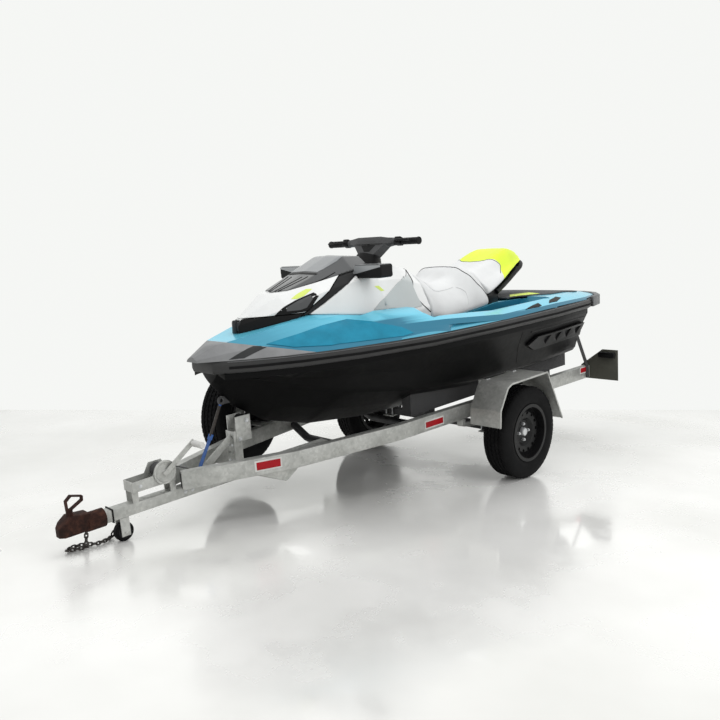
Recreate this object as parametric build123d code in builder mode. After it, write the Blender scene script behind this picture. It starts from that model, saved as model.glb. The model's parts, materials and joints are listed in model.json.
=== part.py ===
"""Personal watercraft parked on its single-axle road trailer, in millimetres.

Pieces are modelled in one of three frames, all with +X to the bow, +Y to port and +Z up:
the trailer's, level, with its origin on the ground under the axle; the craft's, with its
origin under the stern at the height of the keel; and a wheel's, with its axis along Y.
Each piece is written in the parked frame: the trailer tips nose-down about its axle until
the jockey wheel stands on the ground, with the origin on the ground in the middle of the
overall length.
"""

import os
from math import acos, atan2, cos, degrees, hypot, radians, sin, tan

from build123d import *

# Road wheels
tyre_diameter = 575
tyre_width = 175
rim_diameter = 330
track = 1312
bead_clearance = 0.3
lug_circle = 100
lug_count = 4
hand_holes = 14
hand_hole_radius = 10
axle_pin_radius = 16
running_clearance = 0.3

# Trailer
rail_height = 90
rail_width = 50
rail_bottom = 395
rail_rear_y = 474
rail_rear_x = -1190
rail_knee_x = 820
rail_knee_y = 386
rail_shoulder_x = 1480
rail_shoulder_y = 266
rail_nose_x = 2030
rail_nose_y = 52
rail_bend_radius = 300
drawbar_width = 60
drawbar_height = 55
drawbar_rear_x = 1040
drawbar_front_x = 2490
axle_beam_size = 45
beam_to_wheel = 66
cross_tube_radius = 24
cross_sag = 70
bunk_width = 70
bunk_height = 60
bunk_middle_y = 300
bunk_rear_x = -1120
bunk_front_x = 640
sheet = 3
jockey_radius = 46
jockey_width = 36
jockey_x = 2330
jockey_axle_z = 269
jockey_pin_radius = 6
post_x = 1665
post_height = 205
post_width = 70
winch_x = 2110
winch_drum_z = 505
spare_x = 1280
spare_y = -470
spare_z = 535
spare_yaw = 15
plate_inner_y = 430
plate_outer_y = 720
plate_bottom = 385
plate_top = 610

# Craft
craft_length = 3309
craft_x = -1440
craft_z = 440
hull_transom_x = 400
chine_flat = 22
chine_rise = 26
knuckle_inset = 6
hull_top = 490
band_top = 555
deck_top = 655
lid_seam_z = 732
visor_seam_x = 2800
visor_seam_z = 842
visor_slope = 10.8
panel_gap = 6
footwell_inner_y = 300
footwell_outer_y = 520
footwell_floor = 400
footwell_rear_x = 1010
footwell_front_x = 2070
footwell_ramp = 200
console_rear_x = 1790
seat_split_x = 1195
seat_rear_x = 545
seam_gap = 2
steer_tilt = 24
steer_x = 2010
steer_z = 975
bar_reach = 374
bar_radius = 14
grip_radius = 19
pump_z = 150
pump_radius = 95
pump_bore = 82
impeller_clearance = 6

# Middle of the overall length, measured forward from the axle
middle_x = 610

wheel_radius = tyre_diameter / 2
wheel_y = track / 2
axle_beam_reach = wheel_y - beam_to_wheel
rim_radius = rim_diameter / 2
rail_top = rail_bottom + rail_height
drawbar_bottom = rail_bottom - drawbar_height

# Nose-down angle at which the jockey wheel and the road wheels stand on one level ground
jockey_drop = jockey_axle_z - wheel_radius
jockey_arm = hypot(jockey_drop, jockey_x)
park_angle = degrees(acos((jockey_radius - wheel_radius) / jockey_arm) - atan2(jockey_x, jockey_drop))

trailer_frame = (
    Location((-middle_x, 0, wheel_radius))
    * Location((0, 0, 0), (0, park_angle, 0))
    * Location((0, 0, -wheel_radius))
)
craft_frame = trailer_frame * Location((craft_x, 0, craft_z))
port_wheel_frame = trailer_frame * Location((0, wheel_y, wheel_radius))

os.makedirs("parts", exist_ok=True)


def write(piece, name, frame=trailer_frame):
    """Writes one finished piece, moved from its modelling frame to the parked one."""
    parked = piece.moved(frame)
    parked.label = name
    export_step(parked, f"parts/{name}.step")


def upright(x):
    """Plane across the craft at a station, its local axes along Y and Z."""
    return Plane.YZ.offset(x)


def hull_form(stations, half_outline):
    """Solid through upright sections: half_outline(row) gives (y, z) points from the middle line
    below, round the port side, to the middle line above."""
    with BuildPart() as form:
        for row in stations:
            half = half_outline(*row[1:])
            with BuildSketch(upright(row[0])):
                with BuildLine():
                    Polyline(half + [(-y, z) for y, z in reversed(half) if y > 0], close=True)
                make_face()
        loft(ruled=True)
    return form.part


def block(x0, x1, y0, y1, z0, z1):
    """Box between two corners."""
    return Pos((x0 + x1) / 2, (y0 + y1) / 2, (z0 + z1) / 2) * Box(x1 - x0, y1 - y0, z1 - z0, mode=Mode.PRIVATE)


def side_prism(points, y0, y1):
    """Solid of a side-view outline of (x, z) points, from y0 to y1."""
    with BuildPart() as prism:
        with BuildSketch(Plane.XZ.offset(-y0)):
            with BuildLine():
                Polyline(points, close=True)
            make_face()
        extrude(amount=-(y1 - y0))
    return prism.part


# Hull below the gunwale band: a V bottom with hard chines, rising to the stem
# station, keel z, chine y, chine z, half breadth at the band
hull_stations = [
    (hull_transom_x, 8, 445, 180, 578),
    (900, 0, 470, 178, 620),
    (1600, 4, 465, 188, 624),
    (2150, 22, 415, 225, 592),
    (2600, 78, 315, 292, 484),
    (2900, 165, 205, 362, 362),
    (3100, 292, 108, 424, 236),
    (3215, 425, 48, 462, 146),
]


def hull_outline(keel_z, chine_y, chine_z, breadth):
    return [
        (0, keel_z),
        (chine_y * 0.55, keel_z + (chine_z - keel_z) * 0.5),
        (chine_y, chine_z),
        (chine_y + chine_flat, chine_z + chine_rise),
        ((chine_y + breadth) / 2 - knuckle_inset, (chine_z + hull_top) / 2),
        (breadth - 8, hull_top - 30),
        (breadth - 8, hull_top),
        (0, hull_top),
    ]


# Deck edge in plan: station and half breadth
band_nose_x = 3252
deck_edge = [
    (0, 300),
    (60, 415),
    (170, 505),
    (420, 582),
    (900, 622),
    (1600, 624),
    (2150, 592),
    (2600, 484),
    (2900, 362),
    (3100, 236),
    (3200, 150),
    (band_nose_x, 84),
]
band_inset = 70


def band_outline(breadth):
    return [
        (0, hull_top),
        (breadth, hull_top),
        (breadth + 12, hull_top + 18),
        (breadth + 12, band_top - 22),
        (breadth - 2, band_top),
        (0, band_top),
    ]


inner_edge = [(x, y - band_inset) for x, y in deck_edge if 100 < x < 3150]
with BuildPart() as hull_plug:
    with BuildSketch(Plane.XY.offset(hull_top)):
        with BuildLine():
            Polyline(inner_edge + [(x, -y) for x, y in reversed(inner_edge)], close=True)
        make_face()
    extrude(amount=band_top - hull_top)

footwell_side = [
    (footwell_rear_x, footwell_floor),
    (footwell_front_x - footwell_ramp, footwell_floor),
    (footwell_front_x, deck_top + 10),
    (footwell_front_x, deck_top + 200),
    (footwell_rear_x - footwell_ramp, deck_top + 200),
    (footwell_rear_x - footwell_ramp, deck_top - 40),
]
footwell = side_prism(footwell_side, footwell_inner_y, footwell_outer_y)
footwells = [footwell, mirror(footwell, about=Plane.XZ)]

engine_x, engine_length, engine_width, engine_floor, engine_height = 1050, 640, 400, 130, 370
engine_room = 20
engine_bay = block(
    engine_x - engine_room,
    engine_x + engine_length + engine_room,
    -engine_width / 2 - engine_room,
    engine_width / 2 + engine_room,
    engine_floor,
    engine_floor + engine_height + engine_room,
)
bin_front_x, bin_rear_x, bin_half_width, bin_floor = 2830, 2420, 115, 430
storage_bin = block(bin_rear_x, bin_front_x, -bin_half_width, bin_half_width, bin_floor, lid_seam_z + 200)

# Jet tunnel under the stern, where the pump hangs
tunnel_half_width, tunnel_front_x, tunnel_top = 125, 620, 262
tunnel = block(hull_transom_x - 20, tunnel_front_x, -tunnel_half_width, tunnel_half_width, -50, tunnel_top)

with BuildPart() as hull:
    add(hull_form(hull_stations, hull_outline))
    add(hull_plug.part)
    for hollow in [*footwells, engine_bay, storage_bin, tunnel]:
        add(hollow, mode=Mode.SUBTRACT)
write(hull.part, "hull", craft_frame)

with BuildPart() as engine:
    add(block(engine_x, engine_x + engine_length, -engine_width / 2, engine_width / 2, engine_floor,
              engine_floor + engine_height))
    fillet(engine.edges().filter_by(Axis.Z), 30)
write(engine.part, "engine", craft_frame)

# Deck above the band
# station, edge y, flank y, flank z, shoulder y, shoulder z, crown z
deck_stations = [
    (0, 290, 286, 562, 240, 568, 568),
    (60, 405, 398, 563, 330, 573, 573),
    (170, 496, 488, 566, 400, 582, 582),
    (420, 576, 566, 574, 450, 604, 600),
    (900, 618, 606, 584, 500, 620, 618),
    (1500, 622, 610, 588, 530, 608, 608),
    (2000, 602, 560, 622, 400, 690, 700),
    (2350, 544, 452, 664, 310, 716, 730),
    (2700, 442, 352, 644, 215, 716, 734),
    (2960, 322, 262, 608, 130, 690, 706),
    (3150, 190, 158, 596, 70, 650, 664),
    (craft_length, 46, 40, 566, 20, 578, 582),
]


def deck_outline(edge_y, flank_y, flank_z, shoulder_y, shoulder_z, crown_z):
    return [
        (0, band_top),
        (edge_y, band_top),
        (flank_y, flank_z),
        (shoulder_y, shoulder_z),
        (0, crown_z),
    ]


# Side-view line on which the grille, cowl, console and seats sit
bed_line = [
    (3400, 592),
    (2690, 724),
    (2330, 678),
    (footwell_front_x, deck_top),
    (1650, 558),
    (1120, 610),
    (430, 590),
]
bed_void = side_prism(bed_line + [(430, 1400), (3400, 1400)], -footwell_inner_y - 40, footwell_inner_y + 40)
bed = side_prism(bed_line + [(430, 300), (3400, 300)], -700, 700)

deck_form = hull_form(deck_stations, deck_outline)
# The bow cap takes the nose below a slanting joint
cap_rear_x, cap_rear_z, cap_slope = 2840, 560, 14
cap_joint = Plane(
    origin=(cap_rear_x, 0, cap_rear_z),
    x_dir=(0, 1, 0),
    z_dir=(-sin(radians(cap_slope)), 0, cos(radians(cap_slope))),
)

with BuildPart() as deck:
    add(deck_form)
    split(bisect_by=cap_joint, keep=Keep.TOP)
    for hollow in [*footwells, engine_bay, storage_bin, bed_void]:
        add(hollow, mode=Mode.SUBTRACT)
write(deck.part, "deck", craft_frame)

with BuildPart() as gunwale_band:
    add(hull_form(deck_edge, band_outline))
    add(hull_plug.part, mode=Mode.SUBTRACT)
write(gunwale_band.part, "gunwale_band", craft_frame)

with BuildPart() as bow_cap:
    add(deck_form)
    split(bisect_by=cap_joint, keep=Keep.BOTTOM)
    add(bed_void, mode=Mode.SUBTRACT)
write(bow_cap.part, "bow_cap", craft_frame)


# Hood, visor, cowl and nose grille are cut from one form above the deck
# station, base y, side y, side z, crown y, crown z
upper_stations = [
    (2200, 322, 250, 890, 110, 1000),
    (2350, 312, 258, 880, 120, 1010),
    (2600, 245, 218, 830, 116, 906),
    (2800, 176, 158, 770, 90, 836),
    (2960, 86, 78, 722, 40, 752),
    (3030, 34, 28, 700, 14, 722),
]
upper_rear_x = 2200
upper_base = 600
lid_shell = 18
lid_rake = 40
hood_hinge_x = 2998
hood_hinge_z = lid_seam_z - 6
hinge_pin_radius = 4
hinge_barrel_radius = 9
hood_strap_half_width = 20


def upper_outline(base_y, side_y, side_z, crown_y, crown_z):
    return [(0, upper_base), (base_y, upper_base), (side_y, side_z), (crown_y, crown_z), (0, crown_z + 6)]


def lid_outline(base_y, side_y, side_z, crown_y, crown_z):
    return [
        (0, upper_base),
        (base_y - lid_shell, upper_base),
        (side_y - lid_shell, side_z - lid_shell / 2),
        (crown_y - lid_shell / 2, crown_z - lid_shell),
        (0, crown_z - lid_shell),
    ]


def slant(x, z, degrees_up_aft):
    """Plane across the craft whose trace rises going aft, its normal pointing up."""
    a = radians(degrees_up_aft)
    return Plane(origin=(x, 0, z), x_dir=(0, 1, 0), z_dir=(sin(a), 0, cos(a)))


upper_form = hull_form(upper_stations, upper_outline)
lid_hollow = hull_form([(x - lid_rake, *row) for x, *row in upper_stations[:-2]], lid_outline)
visor_seam = slant(visor_seam_x, visor_seam_z, visor_slope)
# The hood's rear edge and the console's front edge slant up and aft, with the cowl between them
hood_edge = slant(2720, lid_seam_z, 33)
console_edge = slant(2704, 715, 28)

with BuildPart() as nose_grille:
    add(upper_form)
    add(bed, mode=Mode.SUBTRACT)
    split(bisect_by=Plane.XY.offset(lid_seam_z), keep=Keep.BOTTOM)
    split(bisect_by=hood_edge, keep=Keep.TOP)
    add(storage_bin, mode=Mode.SUBTRACT)
    add(block(2930, hood_hinge_x + 20, -hood_strap_half_width - panel_gap, hood_strap_half_width + panel_gap,
              hood_hinge_z - 16, lid_seam_z), mode=Mode.SUBTRACT)
    with Locations(Location((hood_hinge_x, 0, hood_hinge_z), (90, 0, 0))):
        Cylinder(hinge_pin_radius, 2 * (hood_strap_half_width + panel_gap))
write(nose_grille.part, "nose_grille", craft_frame)

with BuildPart() as cowl:
    add(upper_form)
    add(bed, mode=Mode.SUBTRACT)
    split(bisect_by=visor_seam.offset(-panel_gap), keep=Keep.BOTTOM)
    split(bisect_by=hood_edge.offset(-panel_gap), keep=Keep.BOTTOM)
    split(bisect_by=console_edge, keep=Keep.TOP)
    add(storage_bin, mode=Mode.SUBTRACT)
write(cowl.part, "cowl", craft_frame)

with BuildPart() as hood:
    add(upper_form)
    split(bisect_by=Plane.XY.offset(lid_seam_z + panel_gap), keep=Keep.TOP)
    split(bisect_by=visor_seam, keep=Keep.BOTTOM)
    split(bisect_by=hood_edge, keep=Keep.TOP)
    add(lid_hollow, mode=Mode.SUBTRACT)
    add(block(2938, hood_hinge_x, -hood_strap_half_width, hood_strap_half_width,
              hood_hinge_z, lid_seam_z + panel_gap + 2))
    with Locations(Location((hood_hinge_x, 0, hood_hinge_z), (90, 0, 0))):
        Cylinder(hinge_barrel_radius, 2 * hood_strap_half_width)
        Cylinder(hinge_pin_radius + running_clearance, 2 * hood_strap_half_width, mode=Mode.SUBTRACT)
write(hood.part, "hood", craft_frame)

with BuildPart() as visor:
    add(upper_form)
    split(bisect_by=visor_seam, keep=Keep.TOP)
    add(lid_hollow, mode=Mode.SUBTRACT)
write(visor.part, "visor", craft_frame)

# Console, front seat and rear seat share one loft rule and the saddle below
# station, base y, side y, side z, top y, top z
console_stations = [
    (console_rear_x + seam_gap, 286, 218, 800, 112, 886),
    (steer_x, 302, 236, 850, 120, 944),
    (upper_rear_x, 320, 252, 862, 150, 926),
]
front_seat_stations = [
    (seat_split_x + seam_gap, 285, 216, 760, 130, 822),
    (1260, 290, 228, 782, 142, 854),
    (1330, 290, 230, 790, 142, 864),
    (1450, 288, 212, 740, 130, 796),
    (1620, 286, 206, 740, 118, 788),
    (1720, 286, 212, 770, 112, 842),
    (console_rear_x - seam_gap, 286, 216, 794, 110, 876),
]
rear_seat_stations = [
    (seat_rear_x, 112, 104, 850, 66, 874),
    (640, 172, 160, 850, 110, 926),
    (760, 202, 184, 850, 124, 946),
    (1000, 260, 208, 800, 136, 872),
    (seat_split_x - seam_gap, 284, 215, 762, 130, 826),
]


def seat_outline(base_y, side_y, side_z, top_y, top_z):
    return [(0, 500), (base_y, 500), (base_y, 660), (side_y, side_z), (top_y, top_z), (0, top_z + 8)]


with BuildPart() as console:
    add(hull_form(console_stations, seat_outline))
    add(upper_form)
    split(bisect_by=visor_seam.offset(-panel_gap), keep=Keep.BOTTOM)
    split(bisect_by=console_edge, keep=Keep.BOTTOM)
    add(bed, mode=Mode.SUBTRACT)
    add(storage_bin, mode=Mode.SUBTRACT)
    with Locations(Location((steer_x, 0, steer_z), (0, -steer_tilt, 0))):
        Cylinder(26 + running_clearance, 140, mode=Mode.SUBTRACT)
with BuildPart() as seat_front:
    add(hull_form(front_seat_stations, seat_outline))
    add(bed, mode=Mode.SUBTRACT)
# The rear seat overhangs the stern deck on a slanting grab frame
grab_x, grab_z, grab_slope, grab_thickness, grab_foot_x = 1130, 660, 18.8, 28, 1060
grab_line = slant(grab_x, grab_z, grab_slope)
under_seat = [
    (x, grab_z + (grab_x - x) * tan(radians(grab_slope)) if high else 400)
    for x, high in ((grab_foot_x, False), (grab_foot_x, True), (300, True), (300, False))
]
rear_seat_form = hull_form(rear_seat_stations, seat_outline)
with BuildPart() as seat_rear:
    add(rear_seat_form)
    split(bisect_by=grab_line.offset(grab_thickness), keep=Keep.TOP)
    add(bed, mode=Mode.SUBTRACT)
write(seat_front.part, "seat_front", craft_frame)
write(seat_rear.part, "seat_rear", craft_frame)
with BuildPart() as grab_handle:
    add(rear_seat_form)
    split(bisect_by=grab_line.offset(grab_thickness), keep=Keep.BOTTOM)
    add(side_prism(under_seat, -400, 400), mode=Mode.SUBTRACT)
    add(bed, mode=Mode.SUBTRACT)
write(grab_handle.part, "grab_handle", craft_frame)

# Mirror housings stand out from the console on both sides of the visor
with BuildPart() as mirrors:
    add(block(2262, 2362, 205, 428, 884, 958))
    fillet(mirrors.edges().filter_by(Axis.X), 14)
    add(upper_form, mode=Mode.SUBTRACT)
    add(block(2200, 2400, 0, 226, 915, 1000), mode=Mode.SUBTRACT)
    mirror(about=Plane.XZ)
write(mirrors.part, "mirrors", craft_frame)

# Glovebox in the console behind the steering neck: a pocket and its lid
glove_rear_x, glove_front_x, glove_half_width, glove_depth = 1815, 1935, 78, 110
glove_slope = atan2(944 - 886, steer_x - (console_rear_x + seam_gap))
lid_thickness = 16
glove_top_z = 874
glove_plane = Plane(origin=(glove_rear_x, 0, glove_top_z), x_dir=(cos(glove_slope), 0, sin(glove_slope)),
                    z_dir=(-sin(glove_slope), 0, cos(glove_slope)))
glove_length = (glove_front_x - glove_rear_x) / cos(glove_slope)
glove_hinge = glove_plane.from_local_coords((glove_length - 18, 0, lid_thickness / 2))
with BuildPart() as glove_pocket:
    with BuildSketch(glove_plane.offset(-glove_depth)):
        with Locations((glove_length / 2, 0)):
            Rectangle(glove_length, 2 * glove_half_width)
    extrude(amount=glove_depth + 60)
with BuildPart() as glovebox_lid:
    with BuildSketch(glove_plane):
        with Locations((glove_length / 2, 0)):
            Rectangle(glove_length - 2 * panel_gap, 2 * glove_half_width - 2 * panel_gap)
    extrude(amount=lid_thickness)
    with Locations(Location(glove_hinge, (90, 0, 0))):
        Cylinder(hinge_pin_radius + running_clearance, 4 * glove_half_width, mode=Mode.SUBTRACT)
write(glovebox_lid.part, "glovebox_lid", craft_frame)
with BuildPart() as console_cut:
    add(console.part)
    add(glove_pocket.part, mode=Mode.SUBTRACT)
    with Locations(Location(glove_hinge, (90, 0, 0))):
        Cylinder(hinge_pin_radius, 2 * glove_half_width + 20)
write(console_cut.part, "console", craft_frame)

# Steering column, bar and grips turn together about the raked column
steer_frame = Location((steer_x, 0, steer_z), (0, -steer_tilt, 0))
bar_rise = 100
cover_sections = [(-175, 44, 30), (-95, 72, 44), (95, 72, 44), (175, 44, 30)]
with BuildPart() as steering_neck:
    Cylinder(26, 60, align=(Align.CENTER, Align.CENTER, Align.MAX))
    with BuildSketch():
        Rectangle(66, 104)
    with BuildSketch(Plane.XY.offset(bar_rise - 15)):
        Rectangle(58, 270)
    loft()
    for y, depth, height in cover_sections:
        with BuildSketch(Plane.XZ.offset(-y)):
            with Locations((0, bar_rise)):
                Rectangle(depth, height)
    loft(ruled=True)
write(steering_neck.part, "steering_neck", craft_frame * steer_frame)
grip_length = 125
with BuildPart() as handlebar:
    for side in (1, -1):
        with Locations(Location((0, side * 175, bar_rise), (-90 * side, 0, 0))):
            Cylinder(bar_radius, bar_reach - 175, align=(Align.CENTER, Align.CENTER, Align.MIN))
write(handlebar.part, "handlebar", craft_frame * steer_frame)
with BuildPart() as grips:
    for side in (1, -1):
        with Locations(Location((0, side * (bar_reach - grip_length), bar_rise), (-90 * side, 0, 0))):
            Cylinder(grip_radius, grip_length, align=(Align.CENTER, Align.CENTER, Align.MIN))
            Cylinder(bar_radius + bead_clearance, grip_length, align=(Align.CENTER, Align.CENTER, Align.MIN),
                     mode=Mode.SUBTRACT)
write(grips.part, "grips", craft_frame * steer_frame)

with BuildPart() as stern_bumpers:
    with BuildSketch(Plane.XY.offset(hull_top + 4)):
        with BuildLine():
            Polyline([(0, 240), (0, 300), (60, 415), (170, 505), (330, 555),
                      (330, 580), (160, 540), (30, 440), (-40, 310), (-40, 240)], close=True)
        make_face()
    extrude(amount=band_top + 8 - hull_top)
    add(gunwale_band.part, mode=Mode.SUBTRACT)
    add(deck.part, mode=Mode.SUBTRACT)
    mirror(about=Plane.XZ)
write(stern_bumpers.part, "stern_bumpers", craft_frame)

mat_thickness, mat_margin = 8, 10
with BuildPart() as footwell_mats:
    add(block(footwell_rear_x, footwell_front_x - footwell_ramp, footwell_inner_y + mat_margin,
              footwell_outer_y - mat_margin, footwell_floor, footwell_floor + mat_thickness))
    mirror(about=Plane.XZ)
write(footwell_mats.part, "footwell_mats", craft_frame)

# Stern mat: a skin of the deck's own form within a plan outline
stern_mat_plan = [(60, 250), (170, 360), (620, 405), (860, 285), (980, 285)]
with BuildPart() as stern_mat:
    with BuildSketch(Plane.XY.offset(band_top)):
        with BuildLine():
            Polyline(stern_mat_plan + [(x, -y) for x, y in reversed(stern_mat_plan)], close=True)
        make_face()
    extrude(amount=deck_top)
    add(deck_form.moved(Pos(0, 0, mat_thickness)), mode=Mode.INTERSECT)
    add(deck_form, mode=Mode.SUBTRACT)
write(stern_mat.part, "stern_mat", craft_frame)

# Sponsons stand out from the hull's side, with a row of triangular pockets
sponson_stand, pocket_floor = 24, 8
sponson_rear_x, sponson_low, sponson_high, sponson_tip_x = hull_transom_x + 30, 300, 392, 1165
sponson_line = [
    (sponson_rear_x, sponson_low),
    (sponson_rear_x, sponson_high),
    (sponson_tip_x - 75, sponson_high - 4),
    (sponson_tip_x, (sponson_low + sponson_high) / 2 - 10),
    (sponson_tip_x - 90, sponson_low - 6),
]
pocket_count, pocket_pitch, pocket_length, pocket_rim = 4, 150, 105, 16


def hull_side(stand):
    """The after hull's form, wider by a stand-off."""
    rows = [(x, keel, chine_y + stand, chine_z, breadth + stand)
            for x, keel, chine_y, chine_z, breadth in hull_stations[:3]]
    return hull_form(rows, hull_outline)


pocket_base = hull_side(pocket_floor)
with BuildPart() as sponsons:
    add(hull_side(sponson_stand))
    add(side_prism(sponson_line, footwell_inner_y, 2 * footwell_outer_y), mode=Mode.INTERSECT)
    add(hull_side(0), mode=Mode.SUBTRACT)
    for step in range(pocket_count):
        x = sponson_rear_x + pocket_rim + 25 + step * pocket_pitch
        corners = [(x, sponson_high - pocket_rim), (x + pocket_length, sponson_high - pocket_rim),
                   (x + 30, sponson_low + pocket_rim)]
        add(side_prism(corners, footwell_inner_y, 2 * footwell_outer_y) - pocket_base, mode=Mode.SUBTRACT)
    mirror(about=Plane.XZ)
write(sponsons.part, "sponsons", craft_frame)

# Jet pump in the tunnel
nozzle_pivot_x, nozzle_half_angle = 105, 20
venturi_radius = 52
pump_flange_x = tunnel_front_x - 20


def turned(points):
    """Ring of revolution about the pump's axis, from (x, radius) points."""
    with BuildPart() as ring_form:
        with BuildSketch(Plane.XZ):
            with BuildLine():
                Polyline(points, close=True)
            make_face()
        revolve(axis=Axis.X)
    return ring_form.part


pump_frame = craft_frame * Location((0, 0, pump_z))
stator_radius, stator_front_x = 36, 390
with BuildPart() as pump_housing:
    add(turned([
        (92, venturi_radius - 8), (92, venturi_radius), (140, venturi_radius), (230, pump_radius),
        (pump_flange_x, pump_radius), (pump_flange_x, pump_bore), (230, pump_bore), (140, venturi_radius - 8),
    ]))
    add(block(pump_flange_x, tunnel_front_x, -110, 110, -104, 104))
    with Locations(Location(((pump_flange_x + tunnel_front_x) / 2, 0, 0), (0, 90, 0))):
        Cylinder(14 + running_clearance, 40, mode=Mode.SUBTRACT)
    add(turned([(250, 0), (250, stator_radius), (stator_front_x, stator_radius), (stator_front_x, 0)]))
    for turn in range(5):
        add(Location((0, 0, 0), (turn * 72, 0, 0)) * block(270, 370, -4, 4, stator_radius - 4, pump_bore + 4))
    with Locations(Location((stator_front_x, 0, 0), (0, 90, 0))):
        Cylinder(12 + running_clearance, 80, mode=Mode.SUBTRACT)
    for side in (1, -1):
        with Locations(Location((nozzle_pivot_x, 0, side * (venturi_radius - 4)), (90 - 90 * side, 0, 0))):
            Cylinder(6, 36, align=(Align.CENTER, Align.CENTER, Align.MIN))
        with Locations(Location((240, side * (pump_radius - 6), 0), (-90 * side, 0, 0))):
            Cylinder(9, 26, align=(Align.CENTER, Align.CENTER, Align.MIN))
write(pump_housing.part, "pump_housing", pump_frame)

with BuildPart() as impeller:
    add(turned([(stator_front_x + panel_gap, 0), (stator_front_x + panel_gap, 32), (480, 32), (530, 14),
                (612, 14), (612, 0)]))
    with Locations(Location((stator_front_x - 34, 0, 0), (0, 90, 0))):
        Cylinder(12, 50, align=(Align.CENTER, Align.CENTER, Align.MIN))
    for turn in range(4):
        blade = Pos(438, 0, 50) * Rot(0, 0, 40) * Box(70, 6, 52, mode=Mode.PRIVATE)
        add(Location((0, 0, 0), (turn * 90, 0, 0)) * blade)
write(impeller.part, "impeller", pump_frame)

with BuildPart() as steering_nozzle:
    add(turned([(10, 46), (10, 54), (96, 86), (122, 86), (122, 80), (98, 80)]))
    with Locations(Pos(nozzle_pivot_x, 0, 0)):
        Cylinder(6 + running_clearance, 240, mode=Mode.SUBTRACT)
write(steering_nozzle.part, "steering_nozzle", pump_frame)

# Reverse bucket: a clamshell on side arms, stowed above the nozzle
bucket_x, bucket_radius, bucket_shell, bucket_half_span, bucket_stow = 240, 262, 8, 20, 55
arm_inner_y, arm_outer_y = 106, 113


def bucket_sector(inner, outer, y0, y1):
    low, high = radians(bucket_stow - bucket_half_span), radians(bucket_stow + bucket_half_span)
    arc = [low, (low + high) / 2, high]
    with BuildPart() as sector:
        with BuildSketch(Plane.XZ.offset(-y0)):
            with BuildLine():
                far = ThreePointArc(*[(-outer * cos(a), outer * sin(a)) for a in arc])
                if inner:
                    near = ThreePointArc(*[(-inner * cos(a), inner * sin(a)) for a in arc])
                    Line(far @ 0, near @ 0)
                    Line(far @ 1, near @ 1)
                else:
                    Polyline(far @ 0, (0, 0), far @ 1)
            make_face()
        extrude(amount=-(y1 - y0))
    return sector.part


with BuildPart() as reverse_bucket:
    add(bucket_sector(bucket_radius - bucket_shell, bucket_radius, -arm_outer_y, arm_outer_y))
    for y0, y1 in ((arm_inner_y, arm_outer_y), (-arm_outer_y, -arm_inner_y)):
        add(bucket_sector(0, bucket_radius, y0, y1))
        with Locations(Location((0, (y0 + y1) / 2, 0), (90, 0, 0))):
            Cylinder(20, y1 - y0)
    with Locations(Location((0, 0, 0), (90, 0, 0))):
        Cylinder(9 + running_clearance, 260, mode=Mode.SUBTRACT)
write(reverse_bucket.part, "reverse_bucket", pump_frame * Location((bucket_x, 0, 0)))

with BuildPart() as ride_plate:
    add(block(290, tunnel_front_x, -tunnel_half_width, tunnel_half_width, 28, 38))
write(ride_plate.part, "ride_plate", craft_frame)

# Bow eye under the nose
bow_eye_x, bow_eye_z = 3160, 330
with BuildPart() as bow_eye:
    add(block(bow_eye_x - 50, bow_eye_x, -6, 6, bow_eye_z - 20, bow_eye_z + 20))
    add(hull.part, mode=Mode.SUBTRACT)
    with Locations(Location((bow_eye_x, 0, bow_eye_z), (90, 0, 0))):
        Cylinder(22, 12)
        Cylinder(12, 20, mode=Mode.SUBTRACT)
    add(hull.part, mode=Mode.SUBTRACT)
write(bow_eye.part, "bow_eye", craft_frame)


# Road wheels
bead_half, tread_half, shoulder = 58, 62, 14
section = tyre_width / 2
tyre_side = [
    (rim_radius, bead_half),
    (rim_radius + 22, section - 8),
    (rim_radius + 52, section),
    (rim_radius + 84, section - 5),
    (wheel_radius - shoulder, tread_half + shoulder),
    (wheel_radius - 4, tread_half + 3),
    (wheel_radius, tread_half - 10),
]
with BuildPart() as tyre:
    with BuildSketch(Plane.XY):
        with BuildLine():
            Polyline(tyre_side + [(r, -y) for r, y in reversed(tyre_side)], close=True)
        make_face()
    revolve(axis=Axis.Y)

barrel_radius = rim_radius - bead_clearance
with BuildPart() as rim:
    with BuildSketch(Plane.XY):
        with BuildLine():
            Polyline([
                (barrel_radius - 6, -82), (rim_radius + 14, -82), (rim_radius + 14, -77), (barrel_radius, -70),
                (barrel_radius, 70), (rim_radius + 14, 77), (rim_radius + 14, 82), (barrel_radius - 6, 82),
            ], close=True)
        make_face()
    with BuildSketch(Plane.XY):
        with BuildLine():
            Polyline([
                (28, 16), (28, 21), (70, 21), (88, 40), (124, 44), (148, 31), (barrel_radius - 3, 31),
                (barrel_radius - 3, 25), (146, 25), (123, 38), (91, 35), (73, 16),
            ], close=True)
        make_face()
    revolve(axis=Axis.Y)
    with BuildSketch(Plane.XZ):
        with PolarLocations(118, hand_holes):
            Circle(hand_hole_radius)
        with PolarLocations(lug_circle / 2, lug_count):
            Circle(7)
    extrude(amount=-80, mode=Mode.SUBTRACT)

with BuildPart() as hub:
    with BuildSketch(Plane.XY):
        with BuildLine():
            Polyline([(0, -45), (38, -45), (38, 4), (66, 6), (66, 16), (26, 16), (24, 40), (14, 46), (0, 46)], close=True)
        make_face()
    revolve(axis=Axis.Y)
    with BuildSketch(Plane.XZ.offset(-16)):
        with PolarLocations(lug_circle / 2, lug_count):
            Circle(6)
    extrude(amount=-24)
    with BuildSketch(Plane.XZ.offset(-21)):
        with PolarLocations(lug_circle / 2, lug_count):
            RegularPolygon(10, 6)
    extrude(amount=-14)
    with Locations(Location((0, -15, 0), (90, 0, 0))):
        Cylinder(axle_pin_radius + running_clearance, 60, mode=Mode.SUBTRACT)

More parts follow.
